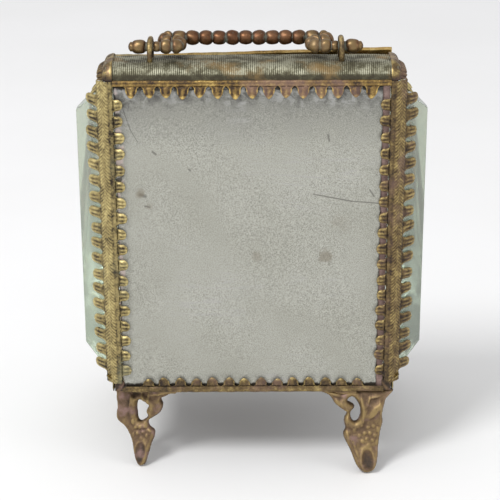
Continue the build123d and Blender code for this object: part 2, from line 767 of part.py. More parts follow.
toe_half_span = body_half_width - toe_inset
foot("back_right_foot", toe_half_span, back_y - toe_kick, 0, 1)
foot(
    "back_left_foot",
    turned_foot_inset - body_half_width,
    back_y - turned_foot_kick,
    -turned_foot_angle,
    -1,
)
foot("front_right_foot", toe_half_span, front_y + toe_kick, 180, -1)
foot("front_left_foot", -toe_half_span, front_y + toe_kick, 180, 1)
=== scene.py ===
# %% [markdown]
# A small glass casket, seen from its silvered back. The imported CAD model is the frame: every
# piece made here is in metres, in that frame, and rides on one of its three bodies, which are
# the casket, the door and the handle. A piece either stands in for CAD nodes or is a CAD node
# that keeps its shape and gets a finish.

# %% Load the frame
import bpy
import bmesh
import numpy as np
from math import atan2, cos, pi, radians, sin, tan
from mathutils import Matrix, Vector


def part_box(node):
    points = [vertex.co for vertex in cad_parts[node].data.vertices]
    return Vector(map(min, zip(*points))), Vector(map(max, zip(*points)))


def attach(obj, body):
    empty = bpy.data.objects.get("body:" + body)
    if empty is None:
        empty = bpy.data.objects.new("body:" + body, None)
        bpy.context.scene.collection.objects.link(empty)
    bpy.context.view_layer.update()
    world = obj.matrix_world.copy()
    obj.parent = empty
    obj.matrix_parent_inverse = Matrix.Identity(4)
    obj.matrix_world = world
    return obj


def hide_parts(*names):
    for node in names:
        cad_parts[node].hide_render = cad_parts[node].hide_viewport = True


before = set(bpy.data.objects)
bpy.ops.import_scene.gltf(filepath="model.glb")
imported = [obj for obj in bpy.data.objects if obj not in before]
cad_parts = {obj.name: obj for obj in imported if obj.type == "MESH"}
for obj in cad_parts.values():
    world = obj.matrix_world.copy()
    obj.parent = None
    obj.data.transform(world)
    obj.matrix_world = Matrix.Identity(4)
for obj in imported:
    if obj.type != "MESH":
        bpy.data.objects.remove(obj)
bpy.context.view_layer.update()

# %% [markdown]
# The view is a little above the lid and square on to the back, from close by with a long lens.
# A camera can be aimed with a constraint, but a quaternion from the line of sight is exact and
# leaves nothing behind. The last turn is the slight roll of a camera held by hand.

# %% Camera
mm = 0.001
look_at, distance, dip = Vector((-0.55, -25, 55.75)) * mm, 377.6, radians(21)
line_of_sight = Vector((0, cos(dip), -sin(dip)))
camera = bpy.data.objects.new("studio_camera", bpy.data.cameras.new("studio_camera"))
bpy.context.scene.collection.objects.link(camera)
camera.data.sensor_width = 36
camera.data.lens = 118.8
camera.data.clip_start, camera.data.clip_end = 0.02, 20
camera.location = look_at - line_of_sight * distance * mm
roll = Matrix.Rotation(radians(-0.25), 4, "Z").to_quaternion()
camera.rotation_mode = "QUATERNION"
camera.rotation_quaternion = line_of_sight.to_track_quat("-Z", "Y") @ roll
bpy.context.scene.camera = camera
print("camera at", [round(v, 4) for v in camera.location])

# %% [markdown]
# Materials are built from small node trees, so a few helpers keep them readable. Node sums could
# be spelled out one by one, but a socket wrapped in a small class can be added and multiplied
# like a number, and each sign makes one math node.

# %% Helpers for node trees
class Value:
    """A socket that sums can be written with."""

    def __init__(self, tree, socket):
        self.tree, self.socket = tree, socket

    def __add__(self, other):
        return calc(self.tree, "ADD", self, other)

    def __sub__(self, other):
        return calc(self.tree, "SUBTRACT", self, other)

    def __rsub__(self, other):
        return calc(self.tree, "SUBTRACT", other, self)

    def __mul__(self, other):
        return calc(self.tree, "MULTIPLY", self, other)

    def __truediv__(self, other):
        return calc(self.tree, "DIVIDE", self, other)


def put(tree, value, socket):
    """Links a value's socket to another socket, or sets that socket to a plain value."""
    value = getattr(value, "socket", value)
    if isinstance(value, bpy.types.NodeSocket):
        tree.links.new(value, socket)
    else:
        socket.default_value = value


def add(tree, kind, sockets=None, **settings):
    """A new node, with its settings made and its sockets filled."""
    made = tree.nodes.new(kind)
    for key, value in settings.items():
        setattr(made, key, value)
    for key, value in (sockets or {}).items():
        put(tree, value, made.inputs[key])
    return made


def calc(tree, operation, first, second=0.0, clamp=False):
    made = add(tree, "ShaderNodeMath", {0: first, 1: second}, operation=operation, use_clamp=clamp)
    return Value(tree, made.outputs[0])


def vector_calc(tree, operation, first, second):
    """A sum of vectors; a dot product or a distance gives one number."""
    made = add(tree, "ShaderNodeVectorMath", {0: first, 1: second}, operation=operation)
    return Value(tree, made.outputs["Value" if operation in ("DOT_PRODUCT", "DISTANCE") else "Vector"])


def noise(tree, place, scale, detail, roughness=0.5, distortion=0.0):
    sockets = {"Vector": place, "Scale": scale, "Detail": detail}
    sockets.update({"Roughness": roughness, "Distortion": distortion})
    return Value(tree, add(tree, "ShaderNodeTexNoise", sockets).outputs[0])


def cells(tree, place, scale):
    """How far each point is from the middle of its cell."""
    made = add(tree, "ShaderNodeTexVoronoi", {"Vector": place, "Scale": scale})
    return Value(tree, made.outputs["Distance"])


def one_axis(tree, place, axis):
    return Value(tree, add(tree, "ShaderNodeSeparateXYZ", {"Vector": place}).outputs[axis])


def relief_value(tree):
    """The relief that a piece carries on its points."""
    return Value(tree, add(tree, "ShaderNodeAttribute", attribute_name="relief").outputs["Fac"])


def remap(tree, value, low, high, start=0.0, end=1.0):
    sockets = {"Value": value, "From Min": start, "From Max": end, "To Min": low, "To Max": high}
    return Value(tree, add(tree, "ShaderNodeMapRange", sockets).outputs[0])


def ramp(tree, value, stops):
    """A colour ramp through (position, colour) stops; a single number is a grey."""
    made = add(tree, "ShaderNodeValToRGB", {0: value})
    while len(made.color_ramp.elements) < len(stops):
        made.color_ramp.elements.new(0.5)
    for element, (position, colour) in zip(made.color_ramp.elements, stops):
        element.position = position
        element.color = (*colour, 1) if isinstance(colour, tuple) else (colour, colour, colour, 1)
    return Value(tree, made.outputs[0])


def blend_colour(tree, factor, first, second, way="MIX"):
    made = add(tree, "ShaderNodeMix", {0: factor, 6: first, 7: second}, data_type="RGBA", blend_type=way)
    return Value(tree, made.outputs[2])


def open_group(name, inputs, outputs):
    """A shader node group with named sockets, and its inner ends."""
    tree = bpy.data.node_groups.new(name, "ShaderNodeTree")
    for label, kind, value in inputs:
        socket = tree.interface.new_socket(label, in_out="INPUT", socket_type="NodeSocket" + kind)
        socket.default_value = value
    for label, kind in outputs:
        tree.interface.new_socket(label, in_out="OUTPUT", socket_type="NodeSocket" + kind)
    given = {socket.name: Value(tree, socket) for socket in tree.nodes.new("NodeGroupInput").outputs}
    return tree, given, tree.nodes.new("NodeGroupOutput").inputs


def finish_tree(name):
    """A new material: its tree, its shader and the piece's own coordinates."""
    material = bpy.data.materials.new(name)
    material.use_nodes = True
    tree = material.node_tree
    place = add(tree, "ShaderNodeTexCoord").outputs["Object"]
    return material, tree, tree.nodes["Principled BSDF"], place


def dress(tree, shader, height=None, strength=0.3, distance=0.0001, **looks):
    """Fills the shader's sockets, and bumps its normal by a height."""
    for label, value in looks.items():
        put(tree, value, shader.inputs[label.replace("_", " ")])
    if height:
        bump = add(tree, "ShaderNodeBump", {"Strength": strength, "Distance": distance, "Height": height})
        put(tree, bump.outputs[0], shader.inputs["Normal"])

# %% [markdown]
# The casket stands on a pale sweep of paper under two large soft lights, one high on the left
# and a weaker one on the right, with an even grey-white room around it for the glass and the
# brass to reflect. Plain planes do for this, and a faint mottle keeps the paper from being flat.

# %% Floor, room and lights
def lay_floor(reach=9):
    paper, tree, shader, place = finish_tree("pale_paper")
    mottle = ramp(tree, noise(tree, place, 9, 5), [(0.3, (0.80, 0.80, 0.795)), (0.7, (0.83, 0.83, 0.83))])
    dress(tree, shader, Base_Color=mottle, Roughness=0.9)
    mesh = bpy.data.meshes.new("floor")
    corners = [(x * reach, y * reach, 0) for x, y in ((-1, -1), (1, -1), (1, 1), (-1, 1))]
    mesh.from_pydata(corners, [], [(0, 1, 2, 3)])
    floor = bpy.data.objects.new("floor", mesh)
    bpy.context.scene.collection.objects.link(floor)
    floor.data.materials.append(paper)


def soft_light(name, place, target, size, power):
    light = bpy.data.lights.new(name, "AREA")
    light.shape, light.size, light.energy = "DISK", size, power
    lamp = bpy.data.objects.new(name, light)
    bpy.context.scene.collection.objects.link(lamp)
    lamp.location = place
    lamp.rotation_mode = "QUATERNION"
    lamp.rotation_quaternion = (Vector(target) - Vector(place)).to_track_quat("-Z", "Y")


lay_floor()
soft_light("high_left_light", (-0.45, -0.50, 0.85), (0, 0, 0.05), 0.34, 6.6)
soft_light("right_fill", (0.8, -0.4, 0.5), (0, 0, 0.05), 0.5, 1.0)
room = bpy.data.worlds.new("pale_room")
room.use_nodes = True
room.node_tree.nodes["Background"].inputs["Color"].default_value = (0.965, 0.965, 0.98, 1)
room.node_tree.nodes["Background"].inputs["Strength"].default_value = 0.82
bpy.context.scene.world = room
bpy.context.scene.view_settings.view_transform = "Standard"
print("stage set")

# %% [markdown]
# Old brass is never one colour. The high places are rubbed bright, the hollows hold dark dirt,
# and verdigris creeps in patches. Each stamped piece carries its own relief, from 0 in a
# hollow to 1 on a crest, as a value on its points, so one group can put the dirt and the shine
# where they belong on every metal piece.

# %% Patina node group
def make_patina():
    tree, given, result = open_group(
        "patina",
        [
            ("Place", "Vector", (0, 0, 0)), ("Relief", "Float", 0.5), ("Bright", "Color", (0.7, 0.5, 0.2, 1)),
            ("Body", "Color", (0.4, 0.27, 0.1, 1)), ("Dirt", "Color", (0.05, 0.03, 0.015, 1)),
            ("Verdigris", "Color", (0.2, 0.3, 0.2, 1)), ("Verdigris Amount", "Float", 0.3),
            ("Wear", "Float", 0.5), ("Speckle", "Float", 1.0), ("Patch Scale", "Float", 70.0),
            ("Rough Low", "Float", 0.3), ("Rough High", "Float", 0.6),
        ],
        [("Color", "Color"), ("Roughness", "Float"), ("Metallic", "Float"), ("Height", "Float")],
    )
    place = given["Place"]
    cloud, grain = noise(tree, place, 160, 6, 0.65), noise(tree, place, 2200, 4, 0.7)
    mottle, patch = noise(tree, place, 620, 3, 0.6), noise(tree, place, given["Patch Scale"], 7, 0.6)
    speckle = grain - 0.5 + (mottle - 0.52)
    level = given["Relief"] + (cloud - 0.5) * 0.9 + speckle * (given["Speckle"] * 1.15)
    dirt = ramp(tree, level, [(0.12, 1.0), (0.5, 0.0)])
    rubbed = calc(tree, "MULTIPLY", ramp(tree, level, [(0.55, 0.0), (0.95, 1.0)]), given["Wear"], True)
    green = ramp(tree, patch, [(0.52, 0.0), (0.64, 1.0)]) * given["Verdigris Amount"]
    green = green * ramp(tree, level, [(0.75, 1.0), (1.0, 0.0)])
    pits = ramp(tree, cells(tree, place, 900), [(0.06, 1.0), (0.16, 0.0)])
    colour = blend_colour(tree, rubbed, given["Body"], given["Bright"])
    colour = blend_colour(tree, dirt, colour, given["Dirt"])
    colour = blend_colour(tree, green, colour, given["Verdigris"])
    colour = blend_colour(tree, pits * 0.5, colour, given["Dirt"])
    rough_range = given["Rough High"] - given["Rough Low"]
    rough = given["Rough Low"] + calc(tree, "ADD", dirt, grain, True) * rough_range
    metal = calc(tree, "SUBTRACT", 1.0, calc(tree, "MAXIMUM", dirt, green) * 0.6, True)
    height = grain * 0.6 - pits * 0.4
    for label, value in zip(("Color", "Roughness", "Metallic", "Height"), (colour, rough, metal, height)):
        put(tree, value, result[label])
    return tree


patina = make_patina()
print("patina group:", len(patina.nodes), "nodes")

# %% Brass and bronze finishes
def metal_finish(name, ends=None, **values):
    """A metal worn by the patina group; values are the group's own sockets.

    Its relief comes from its points if no other is given. With ends, a painted highlight of another
    colour comes in on the crests beyond a distance from a middle, both measured across.
    """
    material, tree, shader, place = finish_tree(name)
    sockets = {key.replace("_", " "): value for key, value in values.items()}
    sockets["Place"] = place
    if "Relief" not in sockets:
        sockets["Relief"] = relief_value(tree)
    worn = add(tree, "ShaderNodeGroup", sockets, node_tree=patina).outputs
    colour = worn["Color"]
    if ends:
        middle, near, far, tone = ends
        away = calc(tree, "ABSOLUTE", one_axis(tree, place, "X") - middle)
        crest = ramp(tree, sockets["Relief"], [(0.50, 0.05), (0.95, 0.75)])
        # the painted highlight, on crests beyond the near distance from the middle
        colour = blend_colour(tree, remap(tree, away, 0.0, 1.0, near, far) * crest, colour, tone)
    dress(
        tree, shader, worn["Height"], 0.35, Base_Color=colour, Roughness=worn["Roughness"],
        Metallic=worn["Metallic"],
    )
    return material


stamped_brass = metal_finish(
    "stamped_brass", Bright=(0.70, 0.585, 0.27, 1), Body=(0.34, 0.27, 0.122, 1), Dirt=(0.03, 0.02, 0.01, 1),
    Verdigris=(0.20, 0.20, 0.125, 1), Verdigris_Amount=0.55, Wear=0.9, Rough_Low=0.30, Rough_High=0.62,
)
gilt_brass = metal_finish(
    "gilt_brass", Bright=(0.72, 0.52, 0.18, 1), Body=(0.27, 0.175, 0.065, 1), Dirt=(0.035, 0.02, 0.012, 1),
    Verdigris=(0.26, 0.16, 0.13, 1), Verdigris_Amount=0.6, Wear=0.95, Rough_Low=0.26, Rough_High=0.55,
)
brown_brass = metal_finish(
    "brown_brass", Bright=(0.51, 0.395, 0.165, 1), Body=(0.18, 0.127, 0.062, 1), Dirt=(0.03, 0.018, 0.011, 1),
    Verdigris=(0.21, 0.13, 0.095, 1), Verdigris_Amount=0.6, Patch_Scale=130.0, Wear=0.85,
    Rough_Low=0.30, Rough_High=0.62,
)
ribbed_brass = metal_finish(
    "ribbed_brass", Bright=(0.42, 0.41, 0.31, 1), Body=(0.13, 0.122, 0.078, 1), Dirt=(0.045, 0.038, 0.020, 1),
    Verdigris=(0.26, 0.165, 0.060, 1), Verdigris_Amount=0.65, Patch_Scale=110.0, Wear=0.9,
    Rough_Low=0.45, Rough_High=0.7,
)
cast_brass = metal_finish(
    "cast_brass", Bright=(0.39, 0.285, 0.13, 1), Body=(0.18, 0.12, 0.075, 1), Dirt=(0.05, 0.035, 0.024, 1),
    Verdigris=(0.24, 0.15, 0.125, 1), Verdigris_Amount=1.0, Speckle=0.45, Patch_Scale=210.0, Wear=0.85,
    Rough_Low=0.42, Rough_High=0.7,
)
# painted highlight: a paler olive gold on the crests of the end beads
copper_bronze = metal_finish(
    "copper_bronze", ends=(-0.0013, 0.0115, 0.0150, (0.27, 0.20, 0.095, 1)),
    Bright=(0.245, 0.125, 0.065, 1), Body=(0.105, 0.050, 0.028, 1), Dirt=(0.13, 0.145, 0.12, 1), Speckle=0.6,
    Verdigris=(0.22, 0.15, 0.075, 1), Verdigris_Amount=0.5, Wear=0.7, Rough_Low=0.28, Rough_High=0.6,
)
wire_brass = metal_finish(
    "wire_brass", Relief=0.62, Bright=(0.80, 0.60, 0.26, 1), Body=(0.50, 0.33, 0.11, 1),
    Dirt=(0.06, 0.035, 0.015, 1), Verdigris=(0.20, 0.26, 0.15, 1), Verdigris_Amount=0.3, Wear=0.8,
    Rough_Low=0.25, Rough_High=0.5,
)
print("metal finishes ready")

# %% [markdown]
# The frame of the casket is stamped from thin brass sheet: narrow bands with a herringbone
# pressed into them, edged with small tongues that are bent over to clasp the glass and the
# back. A tongue could be a flat cut-out with a bump texture, but it would look printed on from
# the side, so each band is a fine grid whose points are pushed up and down by the pattern, each
# tongue is a small domed grid welded to the band's edge, and Solidify gives both their sheet
# thickness.

# %% Helpers for lines and grids of points
def hump(value, middle, width):
    """A smooth rise to one at a middle, fading over a width on both sides."""
    return np.exp(-(((value - middle) / width) ** 2))


def share(value):
    """A value held between nought and one."""
    return np.clip(value, 0, 1)


def unit(run):
    return run / np.linalg.norm(run)


def spread(x, y, z):
    """Rows and columns of points, from three grids or lines that fill them."""
    return np.stack(np.broadcast_arrays(x, y, z), -1)


def squares(index):
    """The four corners of every square in a grid of point numbers."""
    return np.stack([index[:-1, :-1], index[1:, :-1], index[1:, 1:], index[:-1, 1:]], -1)


def lengths_along(line):
    return np.concatenate([[0], np.cumsum(np.linalg.norm(np.diff(line, axis=0), axis=1))])


def even_points(line, step, least=0):
    """A bent line as evenly spaced points, with their lengths along it."""
    lengths = lengths_along(line)
    even = np.linspace(0, lengths[-1], max(int(round(lengths[-1] / step)), least) + 1)
    return np.stack([np.interp(even, lengths, column) for column in line.T], 1), even


def tangents(line):
    run = np.gradient(line, axis=0)
    return run / np.linalg.norm(run, axis=1)[:, None]

# %% Sheet metal helpers
sheet_gauge = 0.22


def place_object(name, mesh, finish):
    """A new object with a mesh and a finish."""
    mesh.materials.append(finish)
    made = bpy.data.objects.new(name, mesh)
    bpy.context.scene.collection.objects.link(made)
    return made


class SheetWork:
    """Grids of points with a relief value, gathered into one thin metal piece."""

    def __init__(self):
        self.points, self.relief, self.faces, self.count = [], [], [], 0

    def grid(self, points, relief, flip=False):
        rows, columns = points.shape[:2]
        quads = squares(self.count + np.arange(rows * columns).reshape(rows, columns)).reshape(-1, 4)
        self.points.append(points.reshape(-1, 3))
        self.relief.append(share(np.broadcast_to(relief, (rows, columns))).reshape(-1))
        self.faces.extend((quads[:, ::-1] if flip else quads).tolist())
        self.count += rows * columns

    def piece(self, name, finish, gauge=sheet_gauge, weld=0.004):
        mesh = bpy.data.meshes.new(name)
        mesh.from_pydata((np.concatenate(self.points) * mm).tolist(), [], self.faces)
        value = mesh.attributes.new("relief", "FLOAT", "POINT")
        value.data.foreach_set("value", np.concatenate(self.relief).astype(np.float32))
        if weld:
            work = bmesh.new()
            work.from_mesh(mesh)
            bmesh.ops.remove_doubles(work, verts=work.verts, dist=weld * mm)
            work.to_mesh(mesh)
            work.free()
        mesh.polygons.foreach_set("use_smooth", [True] * len(mesh.polygons))
        made = place_object(name, mesh, finish)
        if gauge:
            thick = made.modifiers.new("gauge", "SOLIDIFY")
            thick.thickness, thick.offset = gauge * mm, -1
        return made


def pressed(name, finish, points, relief, flip=False, **making):
    """A piece of a single grid."""
    work = SheetWork()
    work.grid(points, relief, flip)
    return work.piece(name, finish, **making)


def settle(piece, body, slot, *nodes):
    """Says what a piece moves with and which CAD nodes it stands for; its slot is not used."""
    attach(piece, body)
    if nodes:
        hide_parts(*nodes)
    return piece


def rounded_section(corners, radius, step=0.2):
    """A bent line through 3-D corners, its bends rounded, as even points and their lengths."""
    corners = [np.array(c, float) for c in corners]
    line = [corners[0]]
    for before, here, after in zip(corners, corners[1:], corners[2:]):
        start, end = here - unit(here - before) * radius, here + unit(after - here) * radius
        for t in np.linspace(0, 1, 5):
            line.append((1 - t) ** 2 * start + 2 * t * (1 - t) * here + t * t * end)
    return even_points(np.array(line + [corners[-1]]), step, 3)


def herringbone(u, v, width, pitch=0.80, depth=0.13):
    """Ribs that slant away from a raised spine, between two plain rims."""
    middle = width / 2
    inside = share((middle - np.abs(v - middle)) / 0.3 - 0.6)
    ribs = 0.5 + 0.5 * np.cos(2 * pi * (u + np.abs(v - middle)) / pitch)
    spine = hump(v, middle, 0.22)
    return inside * (depth * ribs * (1 - spine) + 0.10 * spine)


def plain_band(u, v, width):
    """A smooth band, slightly crowned and uneven."""
    return (0.035 + 0.012 * np.sin(2.1 * u)) * hump(v, 0.5 * width, 0.35 * width)


def fold_band(u, v, width):
    """A plain band with two creases where it tucks under the lid."""
    return plain_band(u, v, width) - 0.12 * hump(v, 0.58, 0.10) - 0.10 * hump(v, 0.92, 0.10)


def corner_pattern(u, v, width):
    """Smooth beside the seam, then herringbone over the corner's slope."""
    flat = 0.8
    return np.where(v > flat, herringbone(u, v - flat, width - flat), plain_band(u, v, flat))


def sill_pattern(u, v, width):
    rib = 2.4
    return np.where(v < rib, herringbone(u, v, rib), herringbone(u, v - rib, width - rib))


tongue_pitch = 3.8
row_step = tongue_pitch / 40


def tongue_rows(start, end, inset):
    """Evenly pitched middles of the tongues between two places along an edge."""
    room = abs(end - start) - 2 * inset
    count = int(room // tongue_pitch) + 1
    first = min(start, end) + inset + (room - (count - 1) * tongue_pitch) / 2
    return [first + row * tongue_pitch for row in range(count)]


# each style of tongue: depth and number of its flutes, how pointed and how high it is, how far
# its root flares along it, the tones of its middle and rim, and of the band that it grows from
tongue_styles = {
    "shell": dict(flute=0.085, flutes=3, point=0.0, rise=0.38, flare=2.6, middle=0.36, rim=0.34, band=0.0),
    "claw": dict(flute=0.07, flutes=2, point=0.40, rise=0.42, flare=1.5, middle=0.30, rim=0.46, band=0.20),
    "dome": dict(flute=0.02, flutes=2, point=0.25, rise=0.62, flare=2.6, middle=0.30, rim=0.42, band=0.12),
}
tongue_half, tongue_root_half = 1.30, 1.90


def tongue(work, root, along, outward, normal, length, seed, flip, kind):
    """One clasping tongue, raised and fluted, from its root on a band's edge to its tip."""
    wobble = np.random.default_rng(seed)
    lean, stretch, lift = wobble.uniform(-0.10, 0.10), wobble.uniform(0.90, 1.06), wobble.uniform(0.8, 1.15)
    s = np.linspace(-1, 1, 41)[None, :]
    t = np.linspace(0, 1, 16)[:, None]
    tip = min(tongue_half, length * 0.55)
    round_reach = (length * stretch - tip) + tip * np.sqrt(share(1 - s**2))
    pointed_reach = length * stretch * (1 - 0.93 * np.abs(s) ** 1.5)
    forward = t * (round_reach * (1 - kind["point"]) + pointed_reach * kind["point"])
    flare = (tongue_root_half - tongue_half) * share(1 - kind["flare"] * t) ** 2
    sideways = s * (tongue_half + flare) + lean * forward
    shape = forward / (length * stretch)
    body = np.sin(pi * share(shape * 0.80 + 0.06)) ** 0.8 * (1 - np.abs(s) ** 2.6)
    flutes = kind["flute"] * np.cos(kind["flutes"] * pi * s) * share(shape * 2.5) * (1 - 0.7 * shape**3)
    up = (kind["rise"] * lift * body + flutes * (1 - np.abs(s) ** 4)) * share(t * 6) - 0.10 * shape**2
    points = root + along * sideways[..., None] + outward * forward[..., None] + normal * up[..., None]
    rim = share((np.maximum(np.abs(s), shape) - 0.66) / 0.2)
    tone = kind["middle"] + kind["rim"] * rim + flutes * 3.2 + 0.10 * body
    work.grid(points, share(tone) * share(0.7 + 1.2 * t), flip)


def stamped_strip(name, node, corners, along, span, tongues_low=(), tongues_high=(), finish=stamped_brass,
                  body="casket", reach_low=2.35, reach_high=2.6, facing=(0, -1, 0), radius=0.3, seed=1,
                  pattern=herringbone, style="shell"):
    """A bent band along a straight edge, with tongues on one or both of its long sides."""
    section, across = rounded_section(corners, radius)
    along, facing, kind = np.array(along, float), np.array(facing, float), tongue_styles[style]
    tangent = tangents(section)
    normal = np.cross(tangent, along)
    flip = np.dot(normal[0], facing) < 0
    if flip:
        normal = -normal
    anchor = (list(tongues_low) or list(tongues_high) or [span[0]])[0]
    first, last = int(np.ceil((span[0] - anchor) / row_step)), int((span[1] - anchor) // row_step)
    rows = np.unique(np.concatenate([[span[0]], anchor + row_step * np.arange(first, last + 1), [span[1]]]))
    up = pattern(rows[:, None], across[None, :], across[-1])
    soft = 0.03 * np.sin(rows[:, None] * 0.9 + seed) + 0.02 * np.sin(rows[:, None] * 2.3 + 2 * seed)
    points = section[None] + along * rows[:, None, None] + normal[None] * (up + soft * (up > 0))[..., None]
    work = SheetWork()
    work.grid(points, 0.32 + kind["band"] + up * 3.5, flip)
    for places, at, reach, way in ((tongues_low, 0, reach_low, -1), (tongues_high, -1, reach_high, 1)):
        for number, place in enumerate(places):
            root = section[at] + along * (anchor + row_step * round((place - anchor) / row_step))
            tongue(work, root, along, tangent[at] * way, normal[at], reach, seed * 100 + number,
                   flip if way > 0 else not flip, kind)
    return settle(work.piece(name, finish), body, "stamped_brass", node)


print("tongue pitch", tongue_pitch, "mm, rows every", round(row_step, 3), "mm")

# %% [markdown]
# The bands follow the edges of the casket, so their corners come from the same few sizes that
# set out the frame: the back plane, the leaning front, the thin edge of the side glasses and
# the slope of their bevels. Each section is a bent line drawn across the band, from the
# tongues on one side to the tongues on the other.

# %% The casket's own sizes, in millimetres
back_y, front_y, base_z, seam_z, ridge_z = -25.0, 25.0, 20.0, 95.5, 99.3
lean = atan2(50.0 - 12.0, ridge_z - base_z)
lean_sin, lean_cos = sin(lean), cos(lean)
up_front, out_front = np.array((0, -lean_sin, lean_cos)), np.array((0, lean_cos, lean_sin))
seam_x, flange_x, side_plate_x = 30.85, 32.4, 32.43
glass_edge_x, glass_rise, bevel_width, bevel_band = 32.3, 7.5, 7.0, 2.4
glass_back_y, glass_low_z, glass_high_z = -24.55, 22.7, 94.2
front_length = (ridge_z - base_z) / lean_cos
front_flat = front_length - 4.0 * tan((pi / 2 - lean) / 2)
jamb_length = front_flat - 1.0
front_inset = 0.45 / lean_cos


def front_edge_y(z, inset=0.0):
    """Where the leaning front stands at a height."""
    return front_y - inset - (z - base_z) * tan(lean)


def on_front(x, along, out):
    return np.array((x, front_y, base_z)) + up_front * along + out_front * out


def bevel_line(edge, inward, outward, width=bevel_width, rise=glass_rise, run=bevel_band, lift=0.45):
    """Two points on the brass over a bevel: where it turns the corner, and where its tongues start."""
    inward, outward = np.array(inward, float), np.array(outward, float)
    start = np.array(edge, float) + unit(outward * width - inward * rise) * lift
    return start, start + unit(inward * width + outward * rise) * run


print("front", round(front_flat, 2), "mm up to the ridge, leaning", round(lean * 180 / pi, 2), "degrees")

# %% Corner posts and back rails
rail_span = (-seam_x + 0.03, seam_x - 0.03)
left_and_right = (("left", -1), ("right", 1))


def back_post(word, side, finish, seed):
    root = bevel_line((side * glass_edge_x, glass_back_y, 0), (0, 1, 0), (side, 0, 0))[1]
    prongs = tongue_rows(base_z, seam_z, 5.4)
    stamped_strip(
        f"stamped_{word}_post", f"back_{word}_post",
        [(side * seam_x, back_y, 0), (side * (flange_x + 0.02), back_y, 0), root], (0, 0, 1),
        (base_z + 2.2, seam_z), [z for z in prongs if z > base_z + 3],
        tongue_rows(glass_low_z, glass_high_z, 1.6), finish, reach_high=3.9, seed=seed,
        pattern=corner_pattern,
    )


def back_rail(word, z_root, edge, inset, finish, seed, **style):
    stamped_strip(
        f"stamped_{word}_rail", f"back_{word}_rail",
        [(0, back_y, z_root), (0, back_y, edge), (0, back_y + 0.5, edge)], (1, 0, 0), rail_span,
        tongue_rows(*rail_span, inset), (), finish, seed=seed, radius=0.15, **style,
    )


back_post("left", -1, stamped_brass, 3)
back_post("right", 1, brown_brass, 7)
back_rail("top", seam_z - 1.0, seam_z, 3.2, gilt_brass, 11, pattern=fold_band, style="claw", reach_low=3.0)
back_rail("bottom", base_z + 1.3, base_z, 5.1, brown_brass, 13, pattern=plain_band, style="dome")
print("back frame stamped")

# %% Front strips, side sills
def front_jamb(word, side, seed):
    root = bevel_line(on_front(side * glass_edge_x, 0, -0.45), -out_front, (side, 0, 0))[1]
    low, high = (glass_low_z - base_z) / lean_cos + 0.3, (glass_high_z - base_z) / lean_cos - 0.3
    stamped_strip(
        f"stamped_front_{word}_strip", f"front_{word}_jamb",
        [on_front(side * seam_x, 0, 0), on_front(side * (flange_x + 0.02), 0, 0), root], up_front,
        (0.3, jamb_length), (), tongue_rows(low, high, 1.6), facing=out_front, seed=seed,
        pattern=corner_pattern,
    )


def side_sill(word, side, seed):
    plate = side * (side_plate_x + 0.4)
    root = bevel_line((side * glass_edge_x, 0, glass_low_z), (0, 0, 1), (side, 0, 0))[1]
    start, end = glass_back_y, front_edge_y(glass_low_z, front_inset)
    stamped_strip(
        f"stamped_{word}_sill", f"{word}_side_sill",
        [(plate, 0, base_z), (plate, 0, glass_low_z - 0.1), root], (0, 1, 0), (start + 0.05, end - 0.05),
        (), tongue_rows(start + 4.4, end - 4.4, 1.6), facing=(side, 0, 0), seed=seed, pattern=sill_pattern,
    )


for (word, side), seed in zip(left_and_right, (17, 19)):
    front_jamb(word, side, seed)
for (word, side), seed in zip(left_and_right, (23, 29)):
    side_sill(word, side, seed)
print("front strips and side sills stamped")

# %% [markdown]
# Glass needs to be a closed solid for light to bend through it. The CAD plates have perfectly
# sharp arrises, which real cut glass never has: it catches light along a fine ground edge. So
# each plate is rebuilt from the hull of its CAD points, cleaned to flat facets, and its edges
# are cut back a little with a bevel. The tint sits in the body of the glass, where it deepens
# with the distance that light travels. The door's plate is clear and the two sides are greener,
# so there are two finishes.

# %% Bevelled glass
def glass_finish(name, clear, low_tint, high_tint):
    material, tree, shader, place = finish_tree(name)
    shadow = Value(tree, add(tree, "ShaderNodeLightPath").outputs["Is Shadow Ray"])
    dress(
        tree, shader, noise(tree, place, 45, 2), 0.25, 0.0002,
        Base_Color=blend_colour(tree, noise(tree, place, 60, 3), low_tint, high_tint),
        Roughness=remap(tree, noise(tree, place, 35, 6), 0.005, 0.05), Alpha=1.0 - shadow * 0.88,
        Transmission_Weight=clear, IOR=1.5,
    )
    body = add(tree, "ShaderNodeVolumeAbsorption", {"Color": (0.60, 0.80, 0.56, 1), "Density": 12.0})
    put(tree, body.outputs[0], tree.nodes["Material Output"].inputs["Volume"])
    return material


def cut_glass(name, node, body, finish):
    work = bmesh.new()
    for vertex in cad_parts[node].data.vertices:
        work.verts.new(vertex.co)
    bmesh.ops.remove_doubles(work, verts=work.verts, dist=0.01 * mm)
    hull = bmesh.ops.convex_hull(work, input=work.verts)
    spare = [g for g in hull["geom_interior"] + hull["geom_unused"] if isinstance(g, bmesh.types.BMVert)]
    bmesh.ops.delete(work, geom=spare, context="VERTS")
    bmesh.ops.dissolve_limit(work, angle_limit=radians(1), verts=work.verts, edges=work.edges)
    bmesh.ops.recalc_face_normals(work, faces=work.faces)
    bmesh.ops.bevel(work, geom=list(work.edges), offset=0.14 * mm, segments=2, affect="EDGES", profile=0.5)
    mesh = bpy.data.meshes.new(name)
    work.to_mesh(mesh)
    work.free()
    settle(place_object(name, mesh, finish), body, "bevelled_glass", node)
    print(name, "has", len(mesh.polygons), "facets")


side_glass = glass_finish("bevelled_glass", 0.79, (0.82, 0.91, 0.79, 1), (0.90, 0.96, 0.86, 1))
door_glass = glass_finish("clear_glass", 0.94, (0.90, 0.95, 0.88, 1), (0.95, 0.98, 0.93, 1))
cut_glass("cut_left_glass", "left_glass", "casket", side_glass)
cut_glass("cut_right_glass", "right_glass", "casket", side_glass)
cut_glass("cut_door_glass", "door_glass", "door", door_glass)
